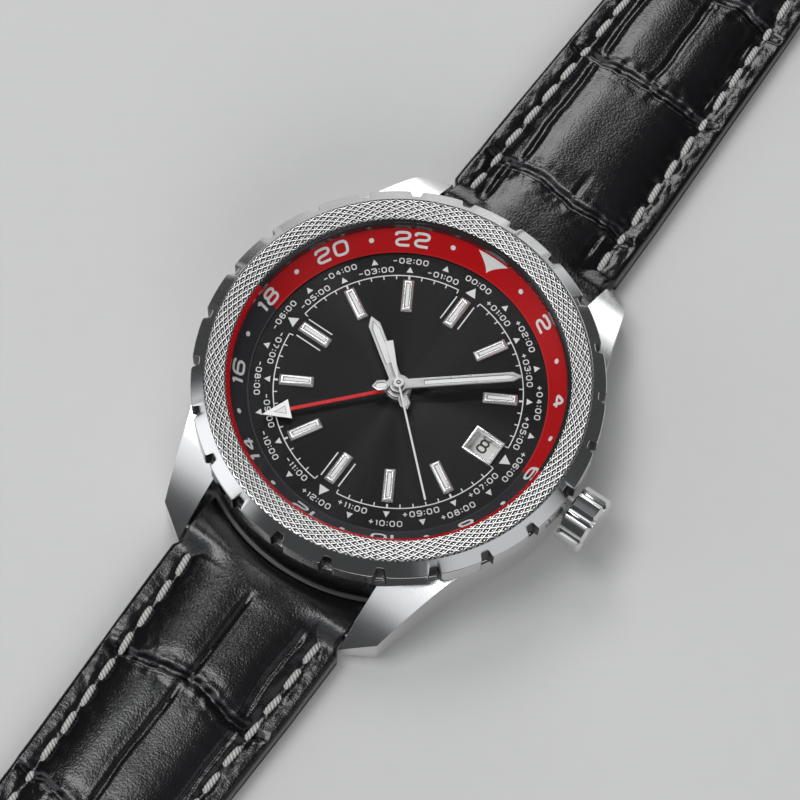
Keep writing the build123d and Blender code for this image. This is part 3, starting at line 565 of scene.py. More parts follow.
@dataclass(frozen=True)
class Thread(Finish):
    """Waxed sewing thread, twisted from a few strands, with painted shade darkening the grooves between
    them.
    """

    colour: Colour = (0.64, 0.64, 0.61)
    strands: float = 2.0
    turns: float = 7.0
    groove_tint: float = 0.3
    twist_depth: float = 0.09
    fibre_scale: float = 9.0
    fibre_share: float = 0.15
    fibre_height: float = 0.2
    fibre_wear: float = 0.2
    soil_scale: float = 0.5
    soil_share: float = 0.15
    groove_end: float = 0.55
    groove_share: float = 0.65
    roughness: float = 0.5

    def dress(self, bench: Bench) -> None:
        """Feeds the shader.

        Args:
            bench: the bench of the material.
        """
        place = bench.place()
        around, along, _ = bench.split(bench.read("ShaderNodeUVMap", {"uv_map": "thread"}))
        twist = (around * (FULL_TURN * self.strands) + along * (FULL_TURN * self.turns)).wave()
        fibre = bench.noise(place, self.fibre_scale, 3.0)
        soil = bench.noise(place, self.soil_scale)
        # Painted shade: the grooves between the strands are darkened, and the fibre and dirt noise darken
        # the thread at random as well.
        groove = 1 - twist.ease(0.0, self.groove_end)
        shade = groove * self.groove_share + fibre * self.fibre_share + soil * self.soil_share
        bench.set("Base Color", bench.blend(shade, self.colour, tinted(self.colour, self.groove_tint)))
        bench.set("Roughness", self.roughness + (fibre - 0.5) * self.fibre_wear)
        bench.relief(twist + fibre * self.fibre_height, self.twist_depth)


@dataclass(frozen=True)
class WorldHand(Finish):
    """Satin steel, with red lacquer on the rod between the hub and the head."""

    steel: Colour = (0.76, 0.76, 0.75)
    red: Colour = (0.62, 0.008, 0.01)
    rod_start: float = 1.45
    rod_end: float = 11.2
    edge: float = 0.03
    metallic: float = 0.7
    roughness: float = 0.36
    rod_gloss: float = 0.08
    grain: float = 8.0
    grain_depth: float = 0.002
    wear: float = 0.08

    def dress(self, bench: Bench) -> None:
        """Feeds the shader.

        Args:
            bench: the bench of the material.
        """
        x, y, _ = bench.axes()
        radius = x.hypot(y)
        begun = radius.ease(self.rod_start - self.edge, self.rod_start + self.edge)
        ended = radius.ease(self.rod_end - self.edge, self.rod_end + self.edge)
        rod = begun * (1 - ended)
        speckle = bench.noise(bench.place(), self.grain)
        bench.set("Base Color", bench.blend(rod, self.steel, self.red))
        bench.set("Metallic", self.metallic - rod * self.metallic)
        bench.set("Roughness", self.roughness - rod * self.rod_gloss + (speckle - 0.5) * self.wear)
        bench.relief(speckle, self.grain_depth)


@dataclass(frozen=True)
class Winding(Finish):
    """Enamelled copper wire wound on a core that lies along the coil, with painted shade darkening the
    grooves between its turns.
    """

    pitch: float = 0.12
    groove: Colour = (0.25, 0.08, 0.03)
    copper: Colour = (0.62, 0.26, 0.1)
    metallic: float = 0.9
    roughness: float = 0.3
    wire_roughness: float = 0.1
    wire_height: float = 0.03

    def dress(self, bench: Bench) -> None:
        """Feeds the shader.

        Args:
            bench: the bench of the material.
        """
        x, _, _ = bench.axes()
        turn = (x * (FULL_TURN / self.pitch)).wave()
        # Painted shade: the copper is darkened in the grooves between the turns.
        bench.set("Base Color", bench.blend(turn, self.groove, self.copper))
        bench.set("Metallic", self.metallic)
        bench.set("Roughness", self.roughness + turn * self.wire_roughness)
        bench.relief(turn, self.wire_height)


@dataclass(frozen=True)
class BoardLacquer(Finish):
    """Green solder lacquer over fine copper tracks."""

    lacquer: Colour = (0.012, 0.1, 0.035)
    track: Colour = (0.04, 0.2, 0.08)
    track_scales: Point = (5.0, 4.0)
    track_limits: Point = (0.1, 0.2)
    track_height: float = 0.01
    roughness: float = 0.35
    track_roughness: float = 0.1

    def dress(self, bench: Bench) -> None:
        """Feeds the shader.

        Args:
            bench: the bench of the material.
        """
        x, y, _ = bench.axes()
        along, across = self.track_scales
        waves = (x * along).maths("SINE") * (y * across).maths("SINE")
        tracks = waves.ease(*self.track_limits)
        bench.set("Base Color", bench.blend(tracks, self.lacquer, self.track))
        bench.set("Roughness", self.roughness + tracks * self.track_roughness)
        bench.relief(tracks, self.track_height)


STEEL = (0.8, 0.8, 0.79)
FINISHES = {
    "case_steel": Metal("case_steel_finish", STEEL, 0.2, Lay.LENGTHWISE, 0.003),
    "bezel_steel": Metal("bezel_steel_finish", STEEL, 0.13, Lay.ROUND_DIAL, 0.002),
    "crown_steel": Metal("crown_steel_finish", STEEL, 0.14, Lay.ROUND_STEM, 0.002),
    "buckle_steel": Metal("buckle_steel_finish", STEEL, 0.14, Lay.MIRROR, 0.001),
    "bar_steel": Metal("bar_steel_finish", (0.6, 0.6, 0.6), 0.28, Lay.LENGTHWISE, 0.004),
    "cell_steel": Metal("cell_steel_finish", (0.68, 0.68, 0.67), 0.32, Lay.ROUND_DIAL, 0.003),
    # Painted shade: the bezel's notch walls are steel painted nearly black.
    "notch_steel": Metal("notch_wall_painted_shade", (0.06, 0.06, 0.06), 0.4, Lay.MIRROR, 0.0005, 0.02),
    # Painted shade on the slopes of the knurl's pits.
    "knurl_steel": Knurl("knurl_steel_painted_shade"),
    "marker_metal": Metal("marker_metal_finish", (0.82, 0.82, 0.81), 0.26, Lay.MIRROR, 0.001, metallic=0.75),
    "hand_metal": Metal("hand_metal_finish", (0.6, 0.6, 0.6), 0.28, Lay.MIRROR, 0.001, metallic=0.75),
    "works_brass": Metal("works_brass_finish", (0.75, 0.58, 0.28), 0.26, Lay.ROUND_DIAL, 0.004),
    # Painted shade in the grooves of the coil.
    "winding_copper": Winding("coil_copper_painted_shade"),
    "world_red": WorldHand("world_hand_finish"),
    # Painted sheen on the dial's sunray.
    "dial_black": Sunray("dial_sunray_painted_sheen"),
    "hour_ring": HalfRing("hour_ring_lacquer"),
    # Painted reflection: the crystal's rim is red over the ring's dark half and dark over its red half.
    "crystal_rim": HalfRing("crystal_rim_painted_reflection", (0.42, 0.006, 0.01), (0.02, 0.02, 0.021), 0.16, 0.5),
    "crystal": Crystal("crystal_glass"),
    "seal": Paint("seal_rubber", (0.012, 0.012, 0.012), 0.6, 3.0, 0.01),
    "lume": Paint("lume_paint", (0.9, 0.91, 0.89), 0.55, 14.0, 0.008),
    "seconds_white": Paint("seconds_white_paint", (0.84, 0.84, 0.82), 0.35, 8.0, 0.002, 0.2),
    "date_white": Paint("date_white_paint", (0.82, 0.82, 0.79), 0.5, 6.0, 0.004),
    "print_white": Paint("print_white_ink", (0.8, 0.81, 0.8), 0.5, 10.0, 0.002),
    "print_black": Paint("print_black_ink", (0.01, 0.01, 0.011), 0.5, 10.0, 0.002),
    "holder_plastic": Paint("holder_plastic_finish", (0.02, 0.02, 0.022), 0.45, 5.0, 0.008),
    "board_green": BoardLacquer("board_lacquer"),
    "strap_leather": Leather("strap_leather_finish", (0.0025, 0.0025, 0.003), 0.19, 4.6, 0.03, 0.15),
    "lining_leather": Leather("lining_leather_finish", (0.03, 0.026, 0.023), 0.62, 5.0, 0.05),
    # Painted shade in the grooves between the thread's strands.
    "thread": Thread("strap_thread_painted_shade"),
}
HUB_PIPES = ("cannon_pinion", "hour_wheel", "world_wheel")
MATERIALS: dict[str, Material] = {}


def finish(name: str) -> Material:
    """Gives a finish, built once.

    Args:
        name: its key in the table of finishes.

    Returns:
        The material.
    """
    if name not in MATERIALS:
        MATERIALS[name] = FINISHES[name].material()
    return MATERIALS[name]


# Shaping


def verts_in(geometry: Sequence[Any]) -> list[Vert]:
    """The vertices among the parts of a shape."""
    return [item for item in geometry if isinstance(item, Vert)]


def radius_of(place: Vector) -> float:
    """Distance of a place from the dial's axis."""
    return math.hypot(place.x, place.y)


def thicken(mesh: Mesh, faces: Sequence[Face], height: float) -> list[Vert]:
    """Raises flat faces to a solid.

    Args:
        mesh: the mesh that they are in.
        faces: the faces, which become the underside.
        height: height of the solid.

    Returns:
        The vertices of its upper face.
    """
    head = verts_in(bmesh.ops.extrude_face_region(mesh, geom=faces, use_keep_orig=True)["geom"])
    bmesh.ops.translate(mesh, verts=head, vec=(0, 0, height))
    return head


def prism(mesh: Mesh, points: Sequence[Point], bottom: float, top: float) -> list[Vert]:
    """Raises a solid from a flat outline, between two heights, and returns its vertices."""
    base = [mesh.verts.new((x, y, bottom)) for x, y in points]
    return base + thicken(mesh, [mesh.faces.new(base)], top - bottom)


def pin(mesh: Mesh, radius: float, depth: float, sides: int, place: Vector) -> None:
    """Makes an upright round pin.

    Args:
        mesh: the mesh that it is made in.
        radius: its radius.
        depth: its height.
        sides: how many sides it has.
        place: its middle.
    """
    bmesh.ops.create_cone(
        mesh, cap_ends=True, segments=sides, radius1=radius, radius2=radius, depth=depth,
        matrix=Matrix.Translation(place)
    )


def lathe(mesh: Mesh, profile: Sequence[Point], steps: int) -> None:
    """Turns a closed profile round the dial's axis.

    Args:
        mesh: the mesh that it is made in.
        profile: radius and height of each corner.
        steps: sides of the turned shape.
    """
    corners = [mesh.verts.new((radius, 0, z)) for radius, z in profile]
    edges = [mesh.edges.new(pair) for pair in zip(corners, corners[1:] + corners[:1])]
    bmesh.ops.spin(
        mesh, geom=corners + edges, cent=(0, 0, 0), axis=(0, 0, 1), angle=FULL_TURN, steps=steps,
        use_merge=True
    )


def grow(mesh: Mesh, edges: Sequence[Edge]) -> tuple[list[Vert], list[Edge]]:
    """Extrudes an open edge loop at its place, and returns the new loop's vertices and edges."""
    grown = bmesh.ops.extrude_edge_only(mesh, edges=edges)["geom"]
    return verts_in(grown), [item for item in grown if isinstance(item, Edge)]


def soften(mesh: Mesh, width: float, segments: int = 2, least_degrees: float = 28.0) -> None:
    """Rounds the sharp edges.

    Args:
        mesh: the mesh whose edges are rounded.
        width: width of the rounding.
        segments: faces across it.
        least_degrees: least angle of an edge that is rounded.
    """
    least = math.radians(least_degrees)
    sharp = [edge for edge in mesh.edges if edge.is_manifold and edge.calc_face_angle(0.0) > least]
    bmesh.ops.bevel(
        mesh, geom=sharp, offset=width, offset_type="OFFSET", segments=segments, profile=0.5, affect="EDGES",
        clamp_overlap=True, material=-1
    )


def spun(mesh: Mesh, angle: float, verts: Optional[Sequence[Vert]] = None) -> None:
    """Turns all vertices, or the given ones, round the Z axis, anticlockwise from above."""
    bmesh.ops.transform(mesh, matrix=Matrix.Rotation(angle, 4, "Z"), verts=verts or mesh.verts)


def shifted(mesh: Mesh, x: float, y: float, z: float) -> None:
    """Moves a whole mesh."""
    bmesh.ops.translate(mesh, verts=mesh.verts, vec=(x, y, z))


def scaled(mesh: Mesh, factor: float) -> None:
    """Scales a whole mesh."""
    bmesh.ops.scale(mesh, verts=mesh.verts, vec=(factor, factor, factor))


def add_to(target: Mesh, source: Mesh) -> None:
    """Adds one mesh to another and frees it.

    Args:
        target: the mesh that grows.
        source: the mesh that is added.
    """
    data = bpy.data.meshes.new("part")
    source.to_mesh(data)
    source.free()
    target.from_mesh(data)
    bpy.data.meshes.remove(data)


def put_in_scene(name: str, data: bpy.types.ID) -> Thing:
    """Makes an object of a mesh, curve, lamp or camera.

    Args:
        name: the object's name.
        data: what it shows.

    Returns:
        The object.
    """
    thing = bpy.data.objects.new(name, data)
    bpy.context.scene.collection.objects.link(thing)
    return thing


def mesh_object(name: str, mesh: Mesh) -> Thing:
    """Makes an object of a bmesh and frees it.

    Args:
        name: the object's name.
        mesh: its mesh, in metres.

    Returns:
        The object.
    """
    data = bpy.data.meshes.new(name)
    mesh.to_mesh(data)
    mesh.free()
    return put_in_scene(name, data)


def evaluated_mesh(thing: Thing) -> bpy.types.Mesh:
    """A mesh of its own of what an object's curve or modifiers give."""
    bpy.context.view_layer.update()
    return bpy.data.meshes.new_from_object(thing.evaluated_get(bpy.context.evaluated_depsgraph_get()))


def lay_down(
    mesh: Mesh,
    node: str,
    name: Optional[str] = None,
    look: Optional[str] = None,
    crease_degrees: float = 32.0,
    merge: float = 1e-4,
    second_look: Optional[str] = None,
) -> Thing:
    """Finishes a mesh that was made in millimetres, as a node's finished form or as a piece beside it.

    Args:
        mesh: the mesh, which is freed.
        node: the node whose body and slot the piece takes.
        name: the name of a piece beside the node; a piece without one stands for the node.
        look: its finish, where that isn't the slot's own.
        crease_degrees: edges that turn by more stay crisp.
        merge: how near two vertices are that become one.
        second_look: the finish of the faces with material index 1.

    Returns:
        The piece.
    """
    bmesh.ops.remove_doubles(mesh, verts=mesh.verts, dist=merge)
    bmesh.ops.recalc_face_normals(mesh, faces=mesh.faces)
    scaled(mesh, MM)
    limit = math.radians(crease_degrees)
    for face in mesh.faces:
        face.smooth = True
    for edge in mesh.edges:
        edge.smooth = edge.calc_face_angle(0.0) < limit
    piece = mesh_object(name or f"{node}_finished", mesh)
    piece.data.materials.append(finish(look or SLOTS[node]))
    if second_look:
        piece.data.materials.append(finish(second_look))
    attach(piece, BODIES[node])
    if not name:
        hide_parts(node)
    LOG.info("%s on %s: %d faces", piece.name, BODIES[node], len(piece.data.polygons))
    return piece


def keep_flat(piece: Thing) -> None:
    """Shades a piece so that its flat faces stay flat beside rounded edges."""
    weigh = piece.modifiers.new("flat faces stay flat", "WEIGHTED_NORMAL")
    weigh.keep_sharp = True


def node_mesh(node: str) -> Mesh:
    """Copies a node's mesh in millimetres, with its loose triangles merged.

    Args:
        node: the node.

    Returns:
        The copy.
    """
    mesh = bmesh.new()
    mesh.from_mesh(frame["nodes"][node].data)
    scaled(mesh, PER_METRE)
    bmesh.ops.remove_doubles(mesh, verts=mesh.verts, dist=NODE_MERGE)
    bmesh.ops.dissolve_limit(
        mesh, angle_limit=math.radians(NODE_FLAT_DEGREES), verts=mesh.verts, edges=mesh.edges,
        use_dissolve_boundaries=False
    )
    return mesh


@dataclass
class Inlay:
    """A node's pale inlay, with a thin dark line along the edge of its upper faces."""

    node: str
    line_width: float = 0.045
    level: float = 0.01
    least_rise: float = 0.9

    def build(self) -> None:
        """Builds the inlay, which stands for its node."""
        mesh = node_mesh(self.node)
        floor = max(vertex.co.z for vertex in mesh.verts) - self.level
        level = [face for face in mesh.faces if face.normal.z > self.least_rise]
        upper = [face for face in level if face.calc_center_median().z > floor]
        edging = bmesh.ops.inset_region(
            mesh, faces=upper, thickness=self.line_width, depth=0.0, use_boundary=True, use_even_offset=True
        )["faces"]
        for face in edging:
            face.material_index = 1
        lay_down(mesh, self.node, second_look="print_black")


@dataclass
class Machined:
    """A node's own shape with its sharp edges broken."""

    node: str
    edge_width: float
    segments: int = 2
    crease_degrees: float = 35.0

    def build(self) -> None:
        """Builds the piece, which stands for its node."""
        mesh = node_mesh(self.node)
        soften(mesh, self.edge_width, self.segments)
        keep_flat(lay_down(mesh, self.node, crease_degrees=self.crease_degrees))


# Each character's width, as a share of a numeral's, and its strokes. A closed stroke ends at its start.
STROKES: dict[str, tuple[float, tuple[tuple[Point, ...], ...]]] = {
    "0": (1.0, (((0, 0), (0, 1), (1, 1), (1, 0), (0, 0)),)),
    "1": (0.42, (((0, 0.78), (0.9, 1), (0.9, 0)),)),
    "2": (1.0, (((0, 0.76), (0, 1), (1, 1), (1, 0.52), (0, 0.46), (0, 0), (1, 0)),)),
    "3": (1.0, (((0, 0.8), (0, 1), (1, 1), (1, 0), (0, 0), (0, 0.2)), ((0.35, 0.53), (1, 0.53)))),
    "4": (1.05, (((0.74, 0), (0.74, 1), (0, 0.3), (1, 0.3)),)),
    "5": (1.0, (((0.95, 1), (0.05, 1), (0, 0.56), (1, 0.6), (1, 0), (0, 0), (0, 0.2)),)),
    "6": (1.0, (((0.95, 0.82), (0.95, 1), (0, 1), (0, 0), (1, 0), (1, 0.57), (0.05, 0.57)),)),
    "7": (0.95, (((0, 1), (1, 1), (0.3, 0)),)),
    "8": (
        1.0,
        (
            ((0, 0), (0, 0.53), (1, 0.53), (1, 0), (0, 0)),
            ((0.07, 0.53), (0.07, 1), (0.93, 1), (0.93, 0.53), (0.07, 0.53)),
        ),
    ),
    "9": (1.0, (((0.05, 0.18), (0.05, 0), (1, 0), (1, 1), (0, 1), (0, 0.43), (0.95, 0.43)),)),
    "+": (0.95, (((0, 0.5), (1, 0.5)), ((0.5, 0.1), (0.5, 0.9)))),
    "-": (0.85, (((0, 0.5), (1, 0.5)),)),
    ":": (0.05, (((0.5, 0.1), (0.5, 0.32)), ((0.5, 0.68), (0.5, 0.9)))),
}


@dataclass(frozen=True)
class Lettering:
    """Plain squarish numerals of one size, drawn with a stroke of one width."""

    height: float
    width: float
    stroke: float
    gap: float
    ink: float = 0.02
    rounding: float = 0.3
    corner_steps: int = 4
    least_run: float = 0.01

    def corner(self, before: Vector, at: Vector, after: Vector) -> list[Vector]:
        """Rounds one corner of a stroke.

        Args:
            before: the point before it.
            at: the corner.
            after: the point after it.

        Returns:
            The points of the rounded corner.
        """
        reach = self.rounding * self.height
        start = at + (before - at).normalized() * min(reach, (before - at).length / 2)
        end = at + (after - at).normalized() * min(reach, (after - at).length / 2)
        shares = [step / self.corner_steps for step in range(self.corner_steps + 1)]
        return [start * (1 - t) ** 2 + at * 2 * t * (1 - t) + end * t ** 2 for t in shares]

    def path(self, points: Sequence[Vector], closed: bool) -> list[Vector]:
        """Rounds the corners of a stroke.

        Args:
            points: its corners.
            closed: whether its end meets its start.

        Returns:
            The points of the rounded stroke.
        """
        count = len(points)
        line: list[Vector] = []
        for index, point in enumerate(points):
            if closed or 0 < index < count - 1:
                line += self.corner(points[index - 1], point, points[(index + 1) % count])
            else:
                line.append(point)
        return line

    def draw(self, text: str) -> Mesh:
        """Draws characters, centred on the origin.

        Args:
            text: the characters.

        Returns:
            A mesh in millimetres that stands on the XY plane.
        """
        curve = bpy.data.curves.new("numerals", "CURVE")
        curve.dimensions = "3D"
        curve.twist_mode = "Z_UP"
        curve.bevel_depth = self.stroke / 2
        curve.bevel_resolution = 0
        curve.use_fill_caps = True
        rise = self.height - self.stroke
        left = 0.0
        for character in text:
            share, strokes = STROKES[character]
            run = max(share * self.width - self.stroke, self.least_run)
            for stroke in strokes:
                closed = stroke[0] == stroke[-1]
                corners = stroke[:-1] if closed else stroke
                line = self.path([Vector((left + x * run, (y - 0.5) * rise, 0)) for x, y in corners], closed)
                spline = curve.splines.new("POLY")
                spline.use_cyclic_u = closed
                spline.points.add(len(line) - 1)
                for place, point in zip(spline.points, line):
                    place.co = (*point, 1.0)
            left += run + self.stroke + self.gap
        drawn = put_in_scene("numerals", curve)
        solid = evaluated_mesh(drawn)
        bpy.data.objects.remove(drawn)
        bpy.data.curves.remove(curve)
        mesh = bmesh.new()
        mesh.from_mesh(solid)
        bpy.data.meshes.remove(solid)
        shifted(mesh, (self.gap + self.stroke - left) / 2, 0, 0)
        bmesh.ops.scale(mesh, verts=mesh.verts, vec=(1, 1, 2 * self.ink / self.stroke))
        shifted(mesh, 0, 0, self.ink)
        return mesh


# Bezel, hour ring and crystal


@dataclass
class Bezel:
    """The turning bezel: notched cone, knurled band, hour ring and crystal's edge."""

    shoulder: float = 11.2
    edge_round: float = 0.09
    wall_corner: Point = (0.12, -0.38)
    cone_corner: Point = (0.45, -0.08)
    cone_end_corner: float = 0.3
    cone_end_falls: Point = (0.012, 0.03)
    groove: float = 0.09
    groove_depth: float = 0.09
    band_seat: float = 0.1
    notches: int = 24
    notch_depth: float = 0.8
    notch_outline: tuple[Point, ...] = (
        (0.2, 1.0), (0.33, 0.98), (0.42, 0.91), (0.46, 0.78), (0.52, 0.53), (0.575, 0.28), (0.62, 0.13),
        (0.7, 0.04), (0.82, 0.0),
    )
    flat_steps: int = 4
    notch_wall_rise: float = 0.35
    notch_wall_inset: float = 0.04
    band_width: float = 2.1
    band_fall: float = 0.12
    band_lift: float = 0.012
    band_edge: float = 0.12
    cell_steps: int = 10
    ridge_height: float = 0.055
    ridge_limits: Point = (0.05, 0.75)
    band_wall: float = 0.08
    ring_width: float = 2.2
    lip: float = 0.12
    under: float = 0.5
    edge_rounding: float = 2.13
    edge_degrees: Point = (37.5, 53.5)
    edge_steps: int = 10
    steps: int = 240
    lettering: Lettering = Lettering(1.74, 1.66, 0.31, 0.32)
    ink: float = 0.02
    dot_radius: float = 0.27
    dot_sides: int = 20
    arrow_half_width: float = 1.75
    arrow_height: float = 1.9
    arrow_hollow: float = 1.35
    arrow_side_steps: int = 8
    arrow_top_steps: int = 10

    def __post_init__(self) -> None:
        """Reads the ring's and the bezel's sizes from the frame."""
        self.outer = high("bezel").x
        self.foot = low("bezel").z
        self.top = high("bezel").z
        self.bore = high("crystal_gasket").x
        self.band_outer = self.bore + self.band_width
        self.ring_inner = self.bore - self.ring_width
        self.ring_low = low("hour_ring").z
        self.ring_high = high("hour_ring").z
        self.cone_top = self.band_outer + self.groove
        self.slope = (self.top - self.shoulder) / (self.outer - self.cone_top)
        self.notch_pitch = FULL_TURN / self.notches

    def build(self) -> None:
        """Builds every piece of the bezel."""
        self.rim()
        self.knurl()
        self.ring()
        self.numerals()
        self.crystal_edge()

    def rim_profile(self) -> list[Point]:
        """Side wall, rounded shoulder, cone and the groove beside the band.

        Returns:
            Radius and height of each corner.
        """
        soft = self.edge_round
        along = soft * math.hypot(1.0, self.slope)
        wall_in, wall_up = self.wall_corner
        cone_in, cone_up = self.cone_corner
        first_fall, last_fall = self.cone_end_falls
        floor = self.top - self.groove_depth
        return [
            (self.bore, self.foot),
            (self.outer - soft, self.foot),
            (self.outer, self.foot + soft),
            (self.outer, self.shoulder - soft),
            (self.outer - wall_in * soft, self.shoulder + wall_up * soft),
            (self.outer - cone_in * soft, self.shoulder + (cone_in * self.slope + cone_up) * soft),
            (self.outer - along, self.shoulder + self.slope * along),
            (self.cone_top + soft, self.top - self.slope * soft),
            (self.cone_top + self.cone_end_corner * soft, self.top - first_fall),
            (self.cone_top, self.top - last_fall),
            (self.cone_top - self.cone_end_corner * self.groove, floor),
            (self.bore, floor - self.band_seat),
        ]

    def notch_columns(self) -> list[Point]:
        """Where the rim's outline has its columns over one pitch, from the middle of a notch on.

        Returns:
            Place along the outline, and depth as a share of the notch's, for each column.
        """
        mouth = self.notch_outline[-1][0]
        land = self.notch_pitch * self.outer / 2 - mouth
        flat = [(mouth + land * step / self.flat_steps, 0.0) for step in range(1, self.flat_steps + 1)]
        half = [(0.0, 1.0), *self.notch_outline, *flat]
        return [(-offset, share) for offset, share in reversed(half[1:-1])] + half

    def rim(self) -> None:
        """Builds the rim: side wall, polished cone, and the outline that dips in at each grip notch, whose
        walls are darkened as painted shade.
        """
        columns = self.notch_columns()
        total = self.notches * len(columns)
        mesh = bmesh.new()
        lathe(mesh, self.rim_profile(), total)
        inner = self.outer - 1.5 * self.edge_round * math.hypot(1.0, self.slope)
        for vertex in mesh.verts:
            radius = radius_of(vertex.co)
            column = round(math.atan2(vertex.co.y, vertex.co.x) * total / FULL_TURN) % total
            notch, place = divmod(column, len(columns))
            offset, share = columns[place]
            angle = notch * self.notch_pitch + offset / self.outer
            z = vertex.co.z
            if radius > inner:
                radius -= share * self.notch_depth
                z += share * self.notch_depth * self.slope if z > self.foot + 2 * self.edge_round else 0.0
            vertex.co = (radius * math.cos(angle), radius * math.sin(angle), z)
        bmesh.ops.recalc_face_normals(mesh, faces=mesh.faces)
        # The notch walls take the second finish: steel painted nearly black as painted shade.
        for face in mesh.faces:
            middle = face.calc_center_median()
            inside = inner - self.notch_depth < radius_of(middle) < self.outer - self.notch_wall_inset
            upright = face.normal.z < self.notch_wall_rise and middle.z > self.foot + self.edge_round
            face.material_index = int(inside and upright)
        keep_flat(lay_down(mesh, "bezel", crease_degrees=30.0, second_look="notch_steel"))

    def knurl_height(self, along: float, across: float) -> float:
        """Height of the knurl, from 0 in a pit to 1 on a ridge, at a place that is given in diamonds."""
        pit = 1 - max(abs(turn % 1.0 * 2 - 1) for turn in (along + across, along - across))
        return 1 - smooth_step(*self.ridge_limits, pit)

    def knurl(self) -> None:
        """Builds the band of crossed ridges."""
        rows = self.band_width / KNURL_LENGTH
        mesh = bmesh.new()
        bmesh.ops.create_grid(
            mesh, x_segments=self.cell_steps, y_segments=round(rows * self.cell_steps), size=0.5
        )
        turn = FULL_TURN / KNURL_COUNT
        for vertex in mesh.verts:
            along = vertex.co.x + 0.5
            share = vertex.co.y + 0.5
            radius = self.bore + share * self.band_width
            fade = smooth_step(0.0, self.band_edge, min(share, 1 - share) * self.band_width)
            rise = self.ridge_height * self.knurl_height(along, share * rows) * fade
            base = self.top - (1 - share) * self.band_fall
            angle = along * turn
            vertex.co = (radius * math.cos(angle), radius * math.sin(angle), base + self.band_lift + rise)
        bmesh.ops.spin(
            mesh, geom=mesh.verts[:] + mesh.edges[:] + mesh.faces[:], cent=(0, 0, 0), axis=(0, 0, 1),
            angle=FULL_TURN - turn, steps=KNURL_COUNT - 1, use_duplicate=True
        )
        bmesh.ops.remove_doubles(mesh, verts=mesh.verts, dist=1e-3)
        feet, _ = grow(mesh, [edge for edge in mesh.edges if edge.is_boundary])
        bmesh.ops.translate(mesh, verts=feet, vec=(0, 0, -self.band_wall))
        bmesh.ops.bridge_loops(mesh, edges=[edge for edge in mesh.edges if edge.is_boundary])
        lay_down(mesh, "bezel", "bezel_knurl", "knurl_steel", crease_degrees=60.0)

    def ring(self) -> None:
        """Builds the sloping ring with a small step at both edges."""
        inner, outer = self.ring_inner, self.bore
        foot, head = self.ring_low + self.lip, self.ring_high - self.lip
        profile = [
            (inner, foot), (inner + self.lip, foot), (outer - self.lip, head), (outer, head),
            (outer, head - self.under), (inner + self.under, self.ring_low), (inner, self.ring_low),
        ]
        mesh = bmesh.new()
        lathe(mesh, profile, self.steps)
        lay_down(mesh, "hour_ring")

    def crystal_edge(self) -> None:
        """Builds the polished, rounded slope that is seen through the crystal's edge, with the ring's
        reflection painted on it.
        """
        top = high("crystal").z
        foot = low("crystal_gasket").z
        start, end = (math.radians(degrees) for degrees in self.edge_degrees)
        profile = []
        for step in range(self.edge_steps + 1):
            angle = start + (end - start) * step / self.edge_steps
            fall = self.edge_rounding * (math.sin(end) - math.sin(angle))
            profile.append((self.bore - self.edge_rounding * (math.cos(angle) - math.cos(end)), top - fall))
        profile += [(self.bore, foot), (profile[0][0], foot)]
        mesh = bmesh.new()
        lathe(mesh, profile, self.steps)
        # Its finish paints the reflection of the ring's opposite half on the slope.
        lay_down(mesh, "crystal_gasket", look="crystal_rim")

    def print_at(self, mesh: Mesh, part: Mesh, degrees: float) -> None:
        """Wraps one print on the ring's cone.

        Args:
            mesh: the mesh of all prints.
            part: the print, with its top towards +Y and its middle at the origin; it is freed.
            degrees: its place, clockwise from 24.
        """
        run = self.ring_width - 2 * self.lip
        climb = self.ring_high - self.ring_low - 2 * self.lip
        slope = math.atan2(climb, run)
        middle = (self.bore + self.ring_inner) / 2
        height = (self.ring_low + self.ring_high) / 2
        for vertex in part.verts:
            radius = middle + vertex.co.y * math.cos(slope) - vertex.co.z * math.sin(slope)
            z = height + vertex.co.y * math.sin(slope) + vertex.co.z * math.cos(slope)
            angle = math.radians(degrees) + vertex.co.x / middle
            vertex.co = (radius * math.sin(angle), radius * math.cos(angle), z)
        add_to(mesh, part)

    def dot(self) -> Mesh:
        """A round dot.

        Returns:
            The print.
        """
        mesh = bmesh.new()
        bmesh.ops.create_circle(mesh, cap_ends=True, segments=self.dot_sides, radius=self.dot_radius)
        thicken(mesh, list(mesh.faces), self.ink)
        return mesh

    def arrow(self) -> Mesh:
        """A triangle with hollow sides that points at the dial.

        Returns:
            The print.
        """
        half = self.arrow_half_width
        top = self.arrow_height / 2
        shares = [step / self.arrow_side_steps for step in range(self.arrow_side_steps + 1)]
        right = [
            (half * (1 - share) ** self.arrow_hollow, top - self.arrow_height * share) for share in shares
        ]
        left = [(-x, y) for x, y in reversed(right[:-1])]
        steps = self.arrow_top_steps
        rim = [(-half + 2 * half * step / steps, top) for step in range(1, steps)]
        mesh = bmesh.new()
        prism(mesh, right + left + rim, 0.0, self.ink)
        return mesh

    def numerals(self) -> None:
        """Prints the even hours, the dots between them and the arrow at 24."""
        mesh = bmesh.new()
        for hour in range(1, 24):
            self.print_at(mesh, self.dot() if hour % 2 else self.lettering.draw(str(hour)), hour * 15.0)
        self.print_at(mesh, self.arrow(), 0.0)
        lay_down(mesh, "hour_ring", "hour_ring_numerals", "print_white")


# Dial


